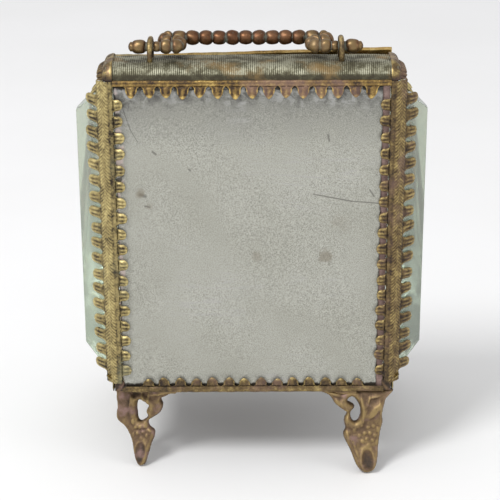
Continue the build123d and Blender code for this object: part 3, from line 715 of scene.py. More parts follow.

# %% [markdown]
# The back is a sheet of silvered metal paper over a card. Its silver has gone matt and grey, with
# a fine speckle all over, a crumpled top, torn places beside the posts, a few deep scratches and
# some brown stains. Light is painted on it as well: the crumpled top grows darker towards its edge
# and is patched light and dark as painted reflections of the frame, and painted shadow lies along
# the top edge under the top rail and beside the posts. All this could be painted on an image, but
# masks worked out from each point's own place stay sharp from any distance: a deep scratch is the
# distance to a line, a stain is the distance to its middle, fine scratches are thin cuts through
# stretched noise, and the rest are ramps over noise.

# %% Silvered sheet finish
# each deep scratch: its two ends across and up, and its half width, in millimetres
scratch_lines = [
    ((-28.6, 89.0), (-27.2, 84.5), 0.16), ((-27.2, 84.5), (-25.6, 81.5), 0.13),
    ((-28.9, 89.8), (-27.6, 90.6), 0.4), ((13.9, 69.0), (22.5, 67.3), 0.24),
    ((22.5, 67.3), (29.4, 66.7), 0.20), ((-22.3, 79.2), (-21.6, 78.6), 0.35),
    ((-25.3, 69.0), (-24.2, 68.6), 0.55), ((-24.3, 66.3), (-23.3, 66.0), 0.3),
    ((17.0, 83.0), (17.3, 81.6), 0.3), ((26.6, 70.0), (27.6, 68.4), 0.25),
    ((-14.2, 75.0), (-13.9, 74.7), 0.3),
]
# each brown stain: its middle across and up, its radius in millimetres, and its strength
stains = [
    (0.85, 53.7, 1.5, 0.35), (16.9, 53.7, 2.1, 0.55), (-25.4, 69.3, 1.3, 0.6), (-23.4, 66.2, 1.0, 0.3),
    (20.0, 62.0, 2.5, 0.2),
]
# each family of fine scratches: its turn in degrees, its scale and the width of its lines
fine_scratches = ((12, 300, 0.012), (-38, 260, 0.008), (71, 340, 0.007))


def silver_finish():
    material, tree, shader, place = finish_tree("silvered_sheet")

    def tinted(colour, tone, value, limits, mask=None):
        """The colour with a tone over it, where a ramp of a value and any mask both say so."""
        amount = ramp(tree, value, limits)
        return blend_colour(tree, mask * amount if mask else amount, colour, (*tone, 1))

    fine, broad = noise(tree, place, 5200, 3, 0.8), noise(tree, place, 45, 6, 0.6)
    thin, scrap = noise(tree, place, 60, 2), noise(tree, place, 620, 3)
    fold = noise(tree, place, 520, 4, distortion=0.8)
    wavy = (one_axis(tree, place, "Z") + (broad - 0.5) * 0.02) * 10
    silver = [(0.36, (0.21, 0.21, 0.183)), (0.5, (0.415, 0.415, 0.366)), (0.64, (0.58, 0.58, 0.52))]
    cloud = ramp(tree, broad, [(0.35, (0.84, 0.835, 0.81)), (0.65, (1.0, 1.0, 1.0))])
    # painted dark reflection: the sheet darkens towards its top edge, where the crumpled metal reflects the
    # dark frame
    dark_reflection = ramp(tree, wavy, [(0.80, (1, 1, 1)), (0.875, (0.72, 0.72, 0.73)), (0.93, (0.46, 0.46, 0.48))])
    colour = blend_colour(tree, 0.8, ramp(tree, fine, silver), cloud, "MULTIPLY")
    colour = blend_colour(tree, 0.85, colour, dark_reflection, "MULTIPLY")
    dotted = ramp(tree, broad, [(0.42, 0.1), (0.62, 0.75)])
    spotted = ramp(tree, thin, [(0.55, 0.0), (0.62, 0.8)])
    dots, spots = cells(tree, place, 1500), cells(tree, place, 210)
    colour = tinted(colour, (0.20, 0.185, 0.16), dots, [(0.10, 1.0), (0.22, 0.0)], dotted)
    colour = tinted(colour, (0.14, 0.12, 0.10), spots, [(0.04, 1.0), (0.13, 0.0)], spotted)
    # painted shadow along the top edge under the top rail, where the sheet's relief is low; the ragged lower
    # edge is darkened the same way
    colour = tinted(colour, (0.035, 0.028, 0.02), relief_value(tree), [(0.02, 1.0), (0.22, 0.0)])
    torn_and_shaded = calc(tree, "ABSOLUTE", one_axis(tree, place, "X")) - (thin - 0.5) * 0.006
    torn_and_shaded = ramp(tree, torn_and_shaded * 25, [(0.738, 0.0), (0.752, 1.0)])
    colour = tinted(colour, (0.60, 0.50, 0.46), scrap, [(0.45, 0.0), (0.55, 0.9)], torn_and_shaded)
    # painted shadow beside the posts, in the torn places
    colour = tinted(colour, (0.05, 0.035, 0.03), scrap, [(0.36, 0.8), (0.44, 0.0)], torn_and_shaded)
    # painted reflections: light and dark patches over the crumpled top band
    crumple_reflections = ramp(tree, wavy, [(0.885, 0.0), (0.930, 1.0)])
    colour = tinted(colour, (0.50, 0.50, 0.485), fold, [(0.51, 0.0), (0.62, 0.55)], crumple_reflections)
    colour = tinted(colour, (0.085, 0.08, 0.075), fold, [(0.37, 0.75), (0.46, 0.0)], crumple_reflections)
    flat_place = vector_calc(tree, "MULTIPLY", place, (1, 0, 1))
    broken = ramp(tree, fine, [(0.36, 0.35), (0.56, 1.0)])
    for (x0, z0), (x1, z1), half in scratch_lines:
        run = ((x1 - x0) * mm, 0, (z1 - z0) * mm)
        away = vector_calc(tree, "SUBTRACT", flat_place, (x0 * mm, 0, z0 * mm))
        reach = vector_calc(tree, "DOT_PRODUCT", away, run)
        part = calc(tree, "DIVIDE", reach, run[0] ** 2 + run[2] ** 2, True)
        off = vector_calc(tree, "DISTANCE", away, vector_calc(tree, "MULTIPLY", run, part))
        colour = tinted(colour, (0.075, 0.07, 0.06), off / (half * mm), [(0.25, 0.75), (1.0, 0.0)], broken)
    for x0, z0, radius, strength in stains:
        off = vector_calc(tree, "DISTANCE", flat_place, (x0 * mm, 0, z0 * mm)) / (radius * mm)
        off = off + (scrap - 0.5) * 1.6
        colour = tinted(colour, (0.205, 0.175, 0.125), off, [(0.45, strength), (1.0, 0.0)])
    scratch = 0.0
    for turn, scale, cut in fine_scratches:
        sockets = {"Vector": place, "Rotation": (0, radians(turn), 0), "Scale": (0.05, 1, 1)}
        wave = noise(tree, add(tree, "ShaderNodeMapping", sockets).outputs[0], scale, 1)
        line = calc(tree, "LESS_THAN", calc(tree, "ABSOLUTE", wave - 0.58), cut)
        scratch = calc(tree, "MAXIMUM", scratch, line)
    scratch = scratch * ramp(tree, broad, [(0.5, 0.0), (0.62, 0.7)])
    colour = blend_colour(tree, scratch * 0.5, colour, (0.42, 0.41, 0.40, 1))
    dress(
        tree, shader, fine - scratch * 0.6, 0.3, 0.00006, Base_Color=colour,
        Roughness=remap(tree, fine, 0.42, 0.62), Metallic=0.55,
    )
    return material


silvered_sheet = silver_finish()
print("silvered sheet finish ready")

# %% Card finish
def card_finish():
    material, tree, shader, place = finish_tree("lining_card")
    fibre, stain = noise(tree, place, 900, 6, 0.7), noise(tree, place, 80, 4)
    # the card's own pinkish brown, kept dark with painted shade, since it shows only in the narrow slit
    # beside the posts
    colour = ramp(tree, fibre, [(0.3, (0.17, 0.105, 0.09)), (0.7, (0.40, 0.27, 0.235))])
    colour = blend_colour(tree, ramp(tree, stain, [(0.45, 0.0), (0.7, 0.5)]), colour, (0.30, 0.22, 0.19, 1))
    dress(tree, shader, fibre, Base_Color=colour, Roughness=remap(tree, fibre, 0.65, 0.9))
    return material


lining_card = card_finish()
print("card finish ready")

# %% [markdown]
# The lid of the casket is a ridge of ribbed sheet that wraps over the top from the back seam to
# the door. Its ribs are under half a millimetre apart. A wave texture in a bump map would do from
# afar, but the ribs catch light in moving wavy bands, where the sheet was pressed unevenly, so
# they are real: six points to a rib, pushed out along the section's own normals, and weaker
# where a slow wave passes.

# %% Ribbed ridge
ridge_back_radius, ridge_front_radius = 3.75, 4.0
ridge_corner_y = front_y - front_length * lean_sin
ridge_run_in = ridge_front_radius * tan((pi / 2 - lean) / 2)
back_bend = np.array((back_y + ridge_back_radius, ridge_z - ridge_back_radius))
front_bend = np.array((ridge_corner_y - ridge_run_in, ridge_z - ridge_front_radius))


def ridge_path(inset, back_low, front_along, step=0.3):
    """Points and outward normals, in y and z, over the ridge from back to front, and lengths."""
    line = [np.array((back_y + inset, back_low))]
    for bend, radius, start, end, count in (
        (back_bend, ridge_back_radius, pi, pi / 2, 24), (front_bend, ridge_front_radius, pi / 2, lean, 20),
    ):
        line += [bend + (radius - inset) * np.array((cos(a), sin(a))) for a in np.linspace(start, end, count)]
    slope_foot = np.array((front_y, base_z)) - np.array((lean_cos, lean_sin)) * inset
    line.append(slope_foot + np.array((-lean_sin, lean_cos)) * front_along)
    points, even = even_points(np.array(line), step)
    return points, tangents(points)[:, ::-1] * (-1, 1), even


def ribbed_sheet():
    rib, half_length = 0.46, 32.35
    points, normals, s = ridge_path(0.5, seam_z - 1.2, jamb_length - 1.2)
    x = np.arange(-half_length, half_length + 1e-6, rib / 6)[:, None]
    slow = s * 1.25 + 1.3 * np.sin(0.42 * x) + 0.8 * np.sin(0.19 * x + 1.1) + 0.5 * np.sin(0.97 * x + s * 0.3)
    wave = 0.5 + 0.5 * np.sin(slow)
    ribs = 0.5 + 0.5 * np.cos(2 * pi * x / rib)
    folded = hump(s, 1.35, 0.16) + 0.7 * hump(s, 1.95, 0.12)
    field = share((s - 2.2) / 0.5) * share((s[-1] - 1.5 - s) / 0.5)
    dent = 0.05 * np.sin(0.31 * x + 0.6 * s) * np.sin(0.23 * x - 0.4 * s + 1)
    up = 0.11 * ribs * (0.45 + 0.55 * wave) * field + 0.09 * folded * (1 - field) + dent * field
    place = spread(x, *(points[:, k] + normals[:, k] * up for k in (0, 1)))
    relief = 0.10 + field * (0.62 * ribs + 0.30 * wave) + 0.35 * folded
    lid = pressed("ribbed_lid", ribbed_brass, place, relief, True, gauge=0.2, weld=0)
    return settle(lid, "casket", "ribbed_brass", "ribbed_ridge")


print("ribbed lid has", len(ribbed_sheet().data.polygons), "faces")

# %% [markdown]
# Each end of the ridge is closed by a gable: a smooth band that follows the ridge, a rounded
# shoulder, and a domed end plate pressed into petals that fan out from its foot. Band, shoulder
# and plate are one continuous grid, so the metal turns the corner without a seam, and a row of
# tongues below it, on a band of its own, clasps the top bevel of the glass.

# %% Gables
def gable(word, side, seed):
    outer, shoulder, petal_count = side_plate_x + 0.4, 1.5, 8
    points, normals, along = ridge_path(0, seam_z + 0.03, jamb_length + 0.03, 0.22)
    turn = np.linspace(0, pi / 2, 7)[1:]
    flat = np.linspace(seam_x, outer - shoulder, 7)
    x = np.concatenate([flat, outer - shoulder + shoulder * np.sin(turn)])
    drop = np.concatenate([0 * flat, shoulder * (1 - np.cos(turn))])
    petal = 0.5 + 0.5 * np.cos(2 * pi * (along / along[-1] * petal_count))[:, None]
    edge, bead = share((x - flat[-1]) / shoulder), 0.06 * hump(x, seam_x + 0.25, 0.14)
    sunk = drop + 0.28 * edge * (1 - petal) - bead + 0.06
    y, z = (points[:, k, None] - normals[:, k, None] * sunk for k in (0, 1))
    worn = 0.62 + 0.14 * np.sin(along * 1.9 + seed)[:, None] + 2 * bead
    ends = np.clip(np.minimum(along, along[-1] - along) / 1.2, 0.15, 1)[:, None]
    cover = SheetWork()
    cover.grid(spread(side * x, y, z), (worn - 0.45 * edge * (1 - petal)) * ends, side < 0)
    t = np.linspace(0, 1, 26)
    rim_y, rim_z = y[:, -1:], z[:, -1:]
    hub_y = np.interp(rim_y, [rim_y.min(), rim_y.max()], [back_y + 6, ridge_corner_y - 4])
    petals = 0.22 * (2 * petal - 1) * np.sin(pi * share(t * 1.1))
    bulge = 1.35 * np.sin(pi / 2 * share(t * 3.2)) * (1 - 0.5 * t**2)
    plate_y, plate_z = rim_y * (1 - t) + hub_y * t, rim_z * (1 - t) + (glass_high_z + 0.1) * t
    plate = spread(side * (outer + bulge + petals), plate_y, plate_z)
    cover.grid(plate, 0.25 + 2.6 * petals + 0.2 * t, side < 0)
    settle(cover.piece(f"{word}_gable_cover", brown_brass), "casket", "stamped_brass", f"{word}_gable")
    bevel = bevel_line((side * glass_edge_x, 0, glass_high_z), (0, 0, -1), (side, 0, 0))
    start, end = glass_back_y + 5.2, front_edge_y(glass_high_z, front_inset) - 3.6
    stamped_strip(
        f"{word}_gable_cover_tongues", f"{word}_gable",
        [(side * (outer - 0.2), 0, glass_high_z + 0.7), *bevel], (0, 1, 0), (start, end),
        (), tongue_rows(start, end, 0.4), facing=(side, 0, 0), seed=seed,
    )


for (word, side), seed in zip(left_and_right, (41, 43)):
    gable(word, side, seed)
print("gables closed")

# %% [markdown]
# The front of the casket is framed like the back, but its strips lean, and the door hangs over
# them. The door is a glass plate in four strips, each bent from the face of the frame, up the
# edge of the glass and over on to its bevel. The top strip also carries a narrow fin, sprung up
# towards the hinges, which shows above the lid from behind.

# %% Front frame and door
door_half, door_low, door_high = 32.3, 1.0, front_flat
door_edge_out, door_web_out = 1.7, 1.85


def front_rail(word, low, high, seed):
    stamped_strip(
        f"stamped_front_{word}", f"front_{word}", [on_front(0, low, -0.02), on_front(0, high, -0.02)],
        (1, 0, 0), rail_span, facing=out_front, seed=seed,
    )


def door_strip(word, edge, inward, along, span, margin, inset, seed):
    """A strip bent from the door's face, up the edge of its glass and over on to the bevel."""
    def across(reach, out):
        return edge + inward * reach + out_front * out

    root = bevel_line(across(0.45, door_edge_out), inward, out_front, 5.0, 3.9, 0.7)[1]
    stamped_strip(
        f"stamped_door_{word}", f"door_{word}",
        [across(2.6, 0.3), across(0, 0.3), across(0, door_web_out), root], along, span,
        (), tongue_rows(span[0] + margin, span[1] - margin, inset),
        body="door", reach_high=1.9, facing=-out_front, seed=seed, pattern=plain_band, radius=0.2,
    )


def sprung_fin():
    """A folded edge on the door's top, low at its free side and high at the hinges."""
    half, low_rise, high_rise = 31.8, 0.2, 2.4
    section = [(-0.35, 0.78), (0.5, 0.72), (1.0, 0.75), (1.0, 1.15), (1.0, 1.6), (0.5, 1.8), (-0.35, 1.82)]
    fine = np.linspace(0, len(section) - 1, 25)
    up, out = (np.interp(fine, range(len(section)), column) for column in zip(*section))
    x = np.linspace(-half, half, 160)[:, None]
    rise = low_rise + (high_rise - low_rise) * (x + half) / (2 * half)
    bow = 0.06 * np.sin(x * 0.35) + 0.04 * np.sin(x * 1.3)
    height = door_high + np.where(up > 0, up * rise, up)
    out = out + (bow - 0.05) * np.maximum(up, 0)
    place = spread(x, front_y, base_z) + up_front * height[..., None] + out_front * out[..., None]
    fin = pressed("door_top_fin", wire_brass, place, 0.5 + 0.3 * np.abs(up), gauge=0.12)
    settle(fin, "door", "stamped_brass", "door_top_rail")


front_rail("sill", 0.3, 2.4, 47)
front_rail("lintel", jamb_length - 2.4, jamb_length, 53)
for (word, side), seed in zip(left_and_right, (59, 61)):
    door_strip(word + "_stile", on_front(side * door_half, 0, 0), np.array((-side, 0, 0)), up_front,
               (door_low, door_high), 0, 1.6, seed)
for word, height, way, seed in (("bottom_rail", door_low, 1, 67), ("top_rail", door_high, -1, 71)):
    door_strip(word, on_front(0, height, 0), up_front * way, (1, 0, 0), (0.5 - door_half, door_half - 0.5),
               2.2, 1.0, seed)
sprung_fin()
print("door framed,", round(door_high - door_low, 1), "mm tall")

# %% [markdown]
# The four feet are thin castings in the shape of a scroll, pierced with an eye and chased with
# leaves. Their outline, eye and leaves are seen from the front, and their gentle S is seen from
# the side, so each is a fine grid filled inside its drawn outline, with a front and a back that
# follow the S. Both close together in a rounded edge, and oval lumps and hollows raise the
# leaves. Sculpting would do as well, but a drawn outline stays exact and can be changed.

# %% Scroll feet
foot_line = [
    (5.4, 20.0), (4.6, 17.2), (3.9, 14.0), (4.0, 11.8), (3.5, 9.6), (3.1, 6.8), (2.8, 3.2), (2.1, 0.9),
    (0.5, 0.0), (-1.2, 0.4), (-2.5, 2.2), (-3.7, 5.0), (-5.1, 7.7), (-5.5, 9.2), (-5.0, 10.5), (-5.3, 12.0),
    (-5.2, 13.2), (-4.7, 14.3), (-5.6, 15.0), (-7.5, 16.5), (-8.5, 18.0), (-9.9, 18.8), (-12.0, 19.4),
    (-12.0, 20.0),
]
foot_eye = [
    (-4.4, 17.1), (-3.7, 17.9), (-2.7, 17.6), (-1.5, 15.5), (-1.7, 13.2), (-2.6, 12.1), (-3.4, 12.7),
    (-3.7, 14.2), (-2.8, 15.7), (-3.2, 16.5),
]
turned_line = [
    (7.6, 20.0), (7.5, 16.6), (7.2, 13.5), (7.5, 11.2), (6.9, 9.8), (5.1, 8.6), (3.9, 7.0), (2.9, 5.0),
    (1.9, 2.3), (1.1, 0.3), (0.1, 0.0), (-0.9, 0.6), (-1.6, 3.0), (-2.1, 5.6), (-2.7, 7.2), (-2.6, 8.7),
    (-1.3, 9.5), (-0.9, 10.7), (-1.9, 11.6), (-3.8, 13.2), (-4.6, 15.3), (-4.0, 16.7), (-5.2, 17.4),
    (-7.2, 18.7), (-11.0, 19.4), (-11.0, 20.0),
]
turned_eye = [
    (2.0, 14.8), (1.4, 15.8), (0.4, 15.5), (-0.9, 14.8), (-0.3, 13.3), (-0.6, 11.8), (1.2, 10.5), (1.9, 11.8),
]
# each leaf: middle across and up, half width, half height, turn in degrees, height of the relief
foot_leaves = [
    (-0.9, 15.5, 0.35, 3.4, 4, 0.40), (2.1, 18.3, 1.5, 0.35, 12, 0.40), (0.5, 17.2, 0.35, 1.4, -18, 0.35),
    (1.9, 17.3, 0.9, 0.55, 20, -0.3), (1.9, 14.9, 0.8, 2.5, -40, 0.6), (3.4, 15.6, 0.32, 2.2, 8, 0.3),
    (-0.9, 11.2, 0.5, 0.45, 0, 0.25), (0.4, 10.9, 0.55, 0.4, 20, 0.3), (1.7, 11.2, 0.5, 0.5, 0, 0.25),
    (2.8, 10.4, 0.45, 0.7, 0, 0.3), (-0.4, 9.5, 0.5, 0.45, 30, 0.3), (0.9, 9.5, 0.45, 0.5, 0, 0.3),
    (2.1, 9.0, 0.5, 0.45, -20, 0.3), (-1.6, 8.9, 0.45, 0.6, -30, 0.3), (0.2, 8.2, 0.5, 0.4, 10, 0.28),
    (1.5, 7.8, 0.5, 0.45, 0, 0.3), (-2.8, 10.2, 0.5, 0.6, 0, 0.25), (-0.9, 7.5, 0.45, 0.5, 15, 0.28),
    (0.6, 6.7, 0.5, 0.4, 0, 0.25), (2.5, 7.3, 0.35, 0.6, 0, 0.25), (-4.3, 8.7, 0.4, 1.4, 18, 0.35),
    (-3.1, 7.4, 0.35, 1.4, 24, 0.35), (-2.3, 5.2, 0.35, 1.6, 24, 0.3), (0.4, 3.2, 1.25, 2.3, 6, -0.5),
    (-6.6, 17.0, 0.6, 1.3, 48, 0.35), (-7.6, 18.9, 2.2, 0.4, -15, 0.3), (-4.7, 15.2, 0.5, 0.4, 0, 0.3),
    (-4.7, 12.7, 0.4, 0.8, 0, 0.35), (-5.6, 15.6, 0.3, 0.9, 40, 0.3),
]
foot_height = 20
# how deep the foot's two faces stand behind its toe, at each height
toe_front = [(0.65, 0.0), (0.25, 2.0), (2.55, 6.0), (3.65, 11.0), (3.85, 16.0), (5.55, 20.0)]
toe_back = [(3.4, 0.0), (3.8, 2.0), (5.0, 6.0), (6.2, 11.0), (6.8, 16.0), (8.3, 20.0)]


def soft_loop(corners, steps=7):
    """A closed smooth line through its corners."""
    p = np.array(corners, float)
    before, after, beyond = np.roll(p, 1, 0), np.roll(p, -1, 0), np.roll(p, -2, 0)
    t = np.linspace(0, 1, steps, endpoint=False)[None, :, None]
    line = p[:, None] + 0.5 * t * (after - before)[:, None]
    line = line + t**2 * (before - 2.5 * p + 2 * after - 0.5 * beyond)[:, None]
    line = line + t**3 * (1.5 * p - 0.5 * before - 1.5 * after + 0.5 * beyond)[:, None]
    return line.reshape(-1, 2)


def nearest_on(line, points):
    """Nearest places on a closed line, and whether the points are inside it."""
    ends = np.roll(line, -1, 0)
    run = ends - line
    t = ((points[:, None] - line[None]) * run[None]).sum(-1) / np.maximum((run**2).sum(-1), 1e-12)
    foot_points = line[None] + np.clip(t, 0, 1)[..., None] * run[None]
    gaps = np.linalg.norm(points[:, None] - foot_points, axis=-1)
    best = gaps.argmin(1)
    crossed = (line[None, :, 1] > points[:, None, 1]) != (ends[None, :, 1] > points[:, None, 1])
    rise = np.where(np.abs(run[:, 1]) < 1e-12, 1e-12, run[:, 1])
    where = line[None, :, 0] + (points[:, None, 1] - line[None, :, 1]) * (run[:, 0] / rise)[None]
    inside = (crossed & (points[:, None, 0] < where)).sum(1) % 2 == 1
    row = np.arange(len(points))
    return foot_points[row, best], gaps[row, best], inside


def leaf_relief(u, h, out_side):
    """The raised and sunk leaves, each in a groove or a rim, with fine chasing between them."""
    total = 0 * u
    for across, up, half_u, half_h, turn, height in foot_leaves:
        a, b = u - across * out_side, h - up
        c, s = cos(radians(turn * out_side)), sin(radians(turn * out_side))
        off = ((a * c + b * s) / half_u) ** 2 + ((b * c - a * s) / half_h) ** 2
        groove = 0.13 if height > -0.4 else -0.32
        total = total + height * np.exp(-(off**1.8)) - groove * hump(np.sqrt(off), 1.25, 0.22)
    chase = 0.05 * np.sin(3.1 * u + 1.4 * np.sin(1.7 * h)) * np.sin(2.6 * h + 1.2 * np.sin(2.1 * u))
    return total + chase * share((18 - h) / 4)


def filled_outline(line, hole, pitch=0.22):
    """Squares inside a line and outside a hole, their rim moved on to the drawn edges.

    Gives the points, their gaps to the nearest edge and to the hole, and the squares.
    """
    low, high = line.min(0) - pitch, line.max(0) + pitch
    flat = np.stack(np.meshgrid(*(np.arange(low[k], high[k], pitch) for k in (0, 1)), indexing="ij"), -1)
    shape, flat = flat.shape[:2], flat.reshape(-1, 2)
    kept = nearest_on(line, flat + pitch / 2)[2] & ~nearest_on(hole, flat + pitch / 2)[2]
    quads = squares(np.arange(len(flat)).reshape(shape))[kept.reshape(shape)[:-1, :-1]]
    uses = np.bincount(quads.ravel(), minlength=len(flat))
    outer_place, outer_gap, _ = nearest_on(line, flat)
    eye_place, eye_gap, _ = nearest_on(hole, flat)
    rim = (uses > 0) & (uses < 4)
    edge = np.where((eye_gap < outer_gap)[:, None], eye_place, outer_place)
    spot = np.where(rim[:, None], edge, flat)
    gap = np.where(rim, 0, np.minimum(outer_gap, eye_gap))
    used = np.flatnonzero(uses)
    number = np.full(len(flat), -1)
    number[used] = np.arange(len(used))
    return spot[used], gap[used], eye_gap[used], number[quads]


def scroll_foot(word, toe, turn, out_side, drawn, eye):
    line, hole = soft_loop(drawn) * (out_side, 1), soft_loop(eye) * (out_side, 1)
    line[:, 1] = np.clip(line[:, 1], 0, foot_height)
    spot, gap, eye_gap, faces = filled_outline(line, hole)
    u, h = spot.T
    front_depth, back_depth = (np.interp(h, *reversed(list(zip(*side)))) for side in (toe_front, toe_back))
    half, core = (back_depth - front_depth) / 2, (back_depth + front_depth) / 2
    round_off = np.sqrt(share(1 - (1 - share(gap / 1.25)) ** 2))
    collar = 0.26 * hump(eye_gap, 1.0, 0.55) - 0.16 * hump(eye_gap, 2.0, 0.28)
    leaves = leaf_relief(u, h, out_side) + collar
    raised = np.minimum(half * round_off * 0.86 + leaves * share(gap / 0.8), half + 0.2)
    hollow = half * round_off * (0.55 + 0.35 * hump(gap, 0, 1))
    face, across = np.array((sin(turn), -cos(turn), 0)), np.array((cos(turn), sin(turn), 0))
    base = across * u[:, None] + spread(*toe, np.clip(h, 0.02, foot_height))
    shade = share(0.46 + 0.8 * leaves + 0.12 * round_off + 0.25 * hump(gap, 0.45, 0.25))
    work = SheetWork()
    work.points = [base - face * (core - raised)[:, None], base - face * (core + hollow)[:, None]]
    work.relief = [shade, 0 * shade + 0.3]
    work.faces = faces.tolist() + (faces[:, ::-1] + len(u)).tolist()
    made = work.piece(f"cast_{word}_foot", cast_brass, gauge=0, weld=0.01)
    smooth = made.modifiers.new("soften", "SMOOTH")
    smooth.factor, smooth.iterations = 0.5, 2
    settle(made, "casket", "cast_brass", f"{word}_foot")


scroll_foot("back_right", (26.9, -30), 0, 1, foot_line, foot_eye)
scroll_foot("back_left", (-27.4, -26), radians(-18), -1, turned_line, turned_eye)
scroll_foot("front_right", (26.9, 30), pi, -1, foot_line, foot_eye)
scroll_foot("front_left", (-26.9, 30), pi, 1, foot_line, foot_eye)
print("four feet cast")

# %% [markdown]
# A thin, uneven lip of brass hangs under the back's bottom rail and runs out into the wings of
# both feet, so the three read as one shallow arch. It is one more fine grid, whose lower edge
# follows the arch and is nibbled by wear. Two small folded corners close the gap beneath the posts.

# %% Arched lip between the feet
def arched_lip():
    half_span, back = 24.5, -24.9
    x = np.linspace(-half_span, half_span, 250)[:, None]
    t = np.linspace(0, 1, 14)
    arch = -0.75 + 2.1 * share((np.abs(x) - 7) / 17) ** 1.4
    nibble = 0.10 * np.sin(x * 1.9) + 0.07 * np.sin(x * 4.7 + 1) + 0.05 * np.sin(x * 9.1)
    place = spread(x, back + 0.5 * t + 0.10 * np.sin(x * 0.8) * t, base_z + 1.2 - (arch + nibble + 1.2) * t)
    relief = 0.66 + 0.2 * np.sin(x * 0.7 + 4 * t) + 0.25 * (t > 0.8)
    settle(pressed("arched_lip", cast_brass, place, relief, gauge=0.35), "casket", "cast_brass")


def corner_tabs():
    """The folded ends of the side sills, seen below each post."""
    work, near, far, back = SheetWork(), 30.4, 32.6, -24.72
    u, v = np.linspace(near, far, 24)[:, None], np.linspace(base_z + 0.03, base_z + 2.6, 24)
    for side in (-1, 1):
        place = spread(side * u, back + 0.05 * np.sin(3.1 * u + 2.3 * v), v)
        work.grid(place, 0.3 + 0.3 * np.sin(2.2 * v + 3 * u), side < 0)
    settle(work.piece("sill_corner_tabs", cast_brass, gauge=0.15), "casket", "cast_brass")


arched_lip()
corner_tabs()
print("lip and corner tabs hung")

# %% [markdown]
# The handle is a beaded rod, bent twice at each end so that its arms lie behind its bar. A row
# of separate spheres would touch only at points, while real turned beads flow into each other
# through narrow necks that stay dark. So it is one skin swept along the bent line, whose radius
# rises and falls with the beads, with a slight dent here and there. Its copper tone gives way to
# a painted highlight of paler olive gold on the crests of the end beads.

# %% Beaded handle
handle_x, handle_pivot_y, handle_pivot_z, handle_tilt = -1.3, -19.0, 101.95, radians(3)
turn_radius, ring_half, knob_gap = 1.7, 21.2, 2.7
turn_middle, bar_forward = ring_half - 4.7, 4 * turn_radius


def handle_line(step=0.09):
    """The right half of the handle's line, from its middle to the tip beside the knob."""
    reach = ring_half + knob_gap + 2.3
    line = [(x, bar_forward) for x in np.arange(0, turn_middle, step)]
    arc = np.arange(0, pi, step / turn_radius)
    line += [(turn_middle + turn_radius * sin(a), 3 * turn_radius + turn_radius * cos(a)) for a in arc]
    line += [(turn_middle - turn_radius * sin(a), turn_radius + turn_radius * cos(a)) for a in arc]
    line += [(x, 0) for x in np.arange(turn_middle, reach, step)]
    return np.array(line, float)


def bead_row():
    """Beads as middle along the half line, radius and half length."""
    arc = pi * turn_radius
    beads = [(turn_middle / 5.5 * n, 1.65, turn_middle / 11) for n in range(6)]
    for first in (turn_middle, turn_middle + arc):
        beads += [(first + arc * k / 6, 1.65, arc / 6.2) for k in (1.1, 3, 4.9)]
    start = turn_middle + 2 * arc
    knob = start + 4.7 + knob_gap
    beads += [(start + 1.25, 1.6, 1.2), (start + 3.3, 1.2, 0.75)]
    return beads + [(knob - 0.2, 1.62, 1.5), (knob + 1.5, 0.75, 0.75)]


def beaded_handle():
    half, rod, neck = handle_line(), 1.05, 0.85
    line = np.concatenate([half[::-1] * (-1, 1), half[1:]])
    tangent, length = tangents(line), lengths_along(line)
    length = np.abs(length - length[len(half) - 1])
    radius, crest = 0 * length + rod, 0 * length
    for middle, bead, reach in bead_row():
        inside = share(1 - np.abs((length - middle) / reach) ** 2.2) ** 0.5
        radius = np.maximum(radius, neck + (bead - neck) * inside)
        crest = np.maximum(crest, inside)
    radius *= share((length.max() - length) / 0.5) ** 0.5
    length, radius, crest = length[:, None], radius[:, None], crest[:, None]
    angle = np.linspace(0, 2 * pi, 33)
    dent = 0.03 * np.sin(2 * angle + length * 1.3) + 0.02 * np.sin(5 * angle - length * 2.1)
    swell = radius * (1 + dent * crest)
    out, up = swell * np.cos(angle), swell * np.sin(angle)
    x, y = line[:, :1] + tangent[:, 1:] * out, line[:, 1:] - tangent[:, :1] * out
    place = spread(
        handle_x + x, handle_pivot_y + y * cos(handle_tilt) - up * sin(handle_tilt),
        handle_pivot_z + y * sin(handle_tilt) + up * cos(handle_tilt),
    )
    relief = 0.05 + 0.8 * crest**1.3 + dent * 3
    bail = pressed("beaded_bail", copper_bronze, place, relief, True, gauge=0, weld=0.01)
    return settle(bail, "handle", "copper_bronze", "beaded_handle")


print("handle has", len(beaded_handle().data.polygons), "faces")

# %% Wire rings
ring_y, ring_z, ring_radius, wire_radius = handle_pivot_y, 101.0, 2.75, 0.60


def wire_ring(word, x, seed):
    """A ring of hand-bent wire, a little uneven, its two ends meeting in a small lap."""
    around = np.linspace(0, 2 * pi, 97)[:, None]
    section = np.linspace(0, 2 * pi, 17)
    lap = hump(around, 4.9, 0.10)
    wire = wire_radius * (1 + 0.05 * np.sin(3 * around + seed) + 0.03 * np.sin(7 * around)) * (1 + 0.12 * lap)
    out = ring_radius + 0.05 * np.sin(2 * around + seed) + wire * np.cos(section)
    across = x + wire * np.sin(section) + 0.07 * np.sin(around + seed)
    place = spread(across, ring_y + out * np.cos(around), ring_z + out * np.sin(around))
    relief = 0.38 + 0.18 * np.cos(section) - 0.3 * lap + 0.15 * np.sin(5 * around + seed)
    ring = pressed(f"{word}_wire_ring", brown_brass, place, relief, gauge=0, weld=0.01)
    settle(ring, "casket", "stamped_brass", f"{word}_handle_ring")


wire_ring("left", -22.5, 1)
wire_ring("right", 19.9, 4)
print("rings bent")
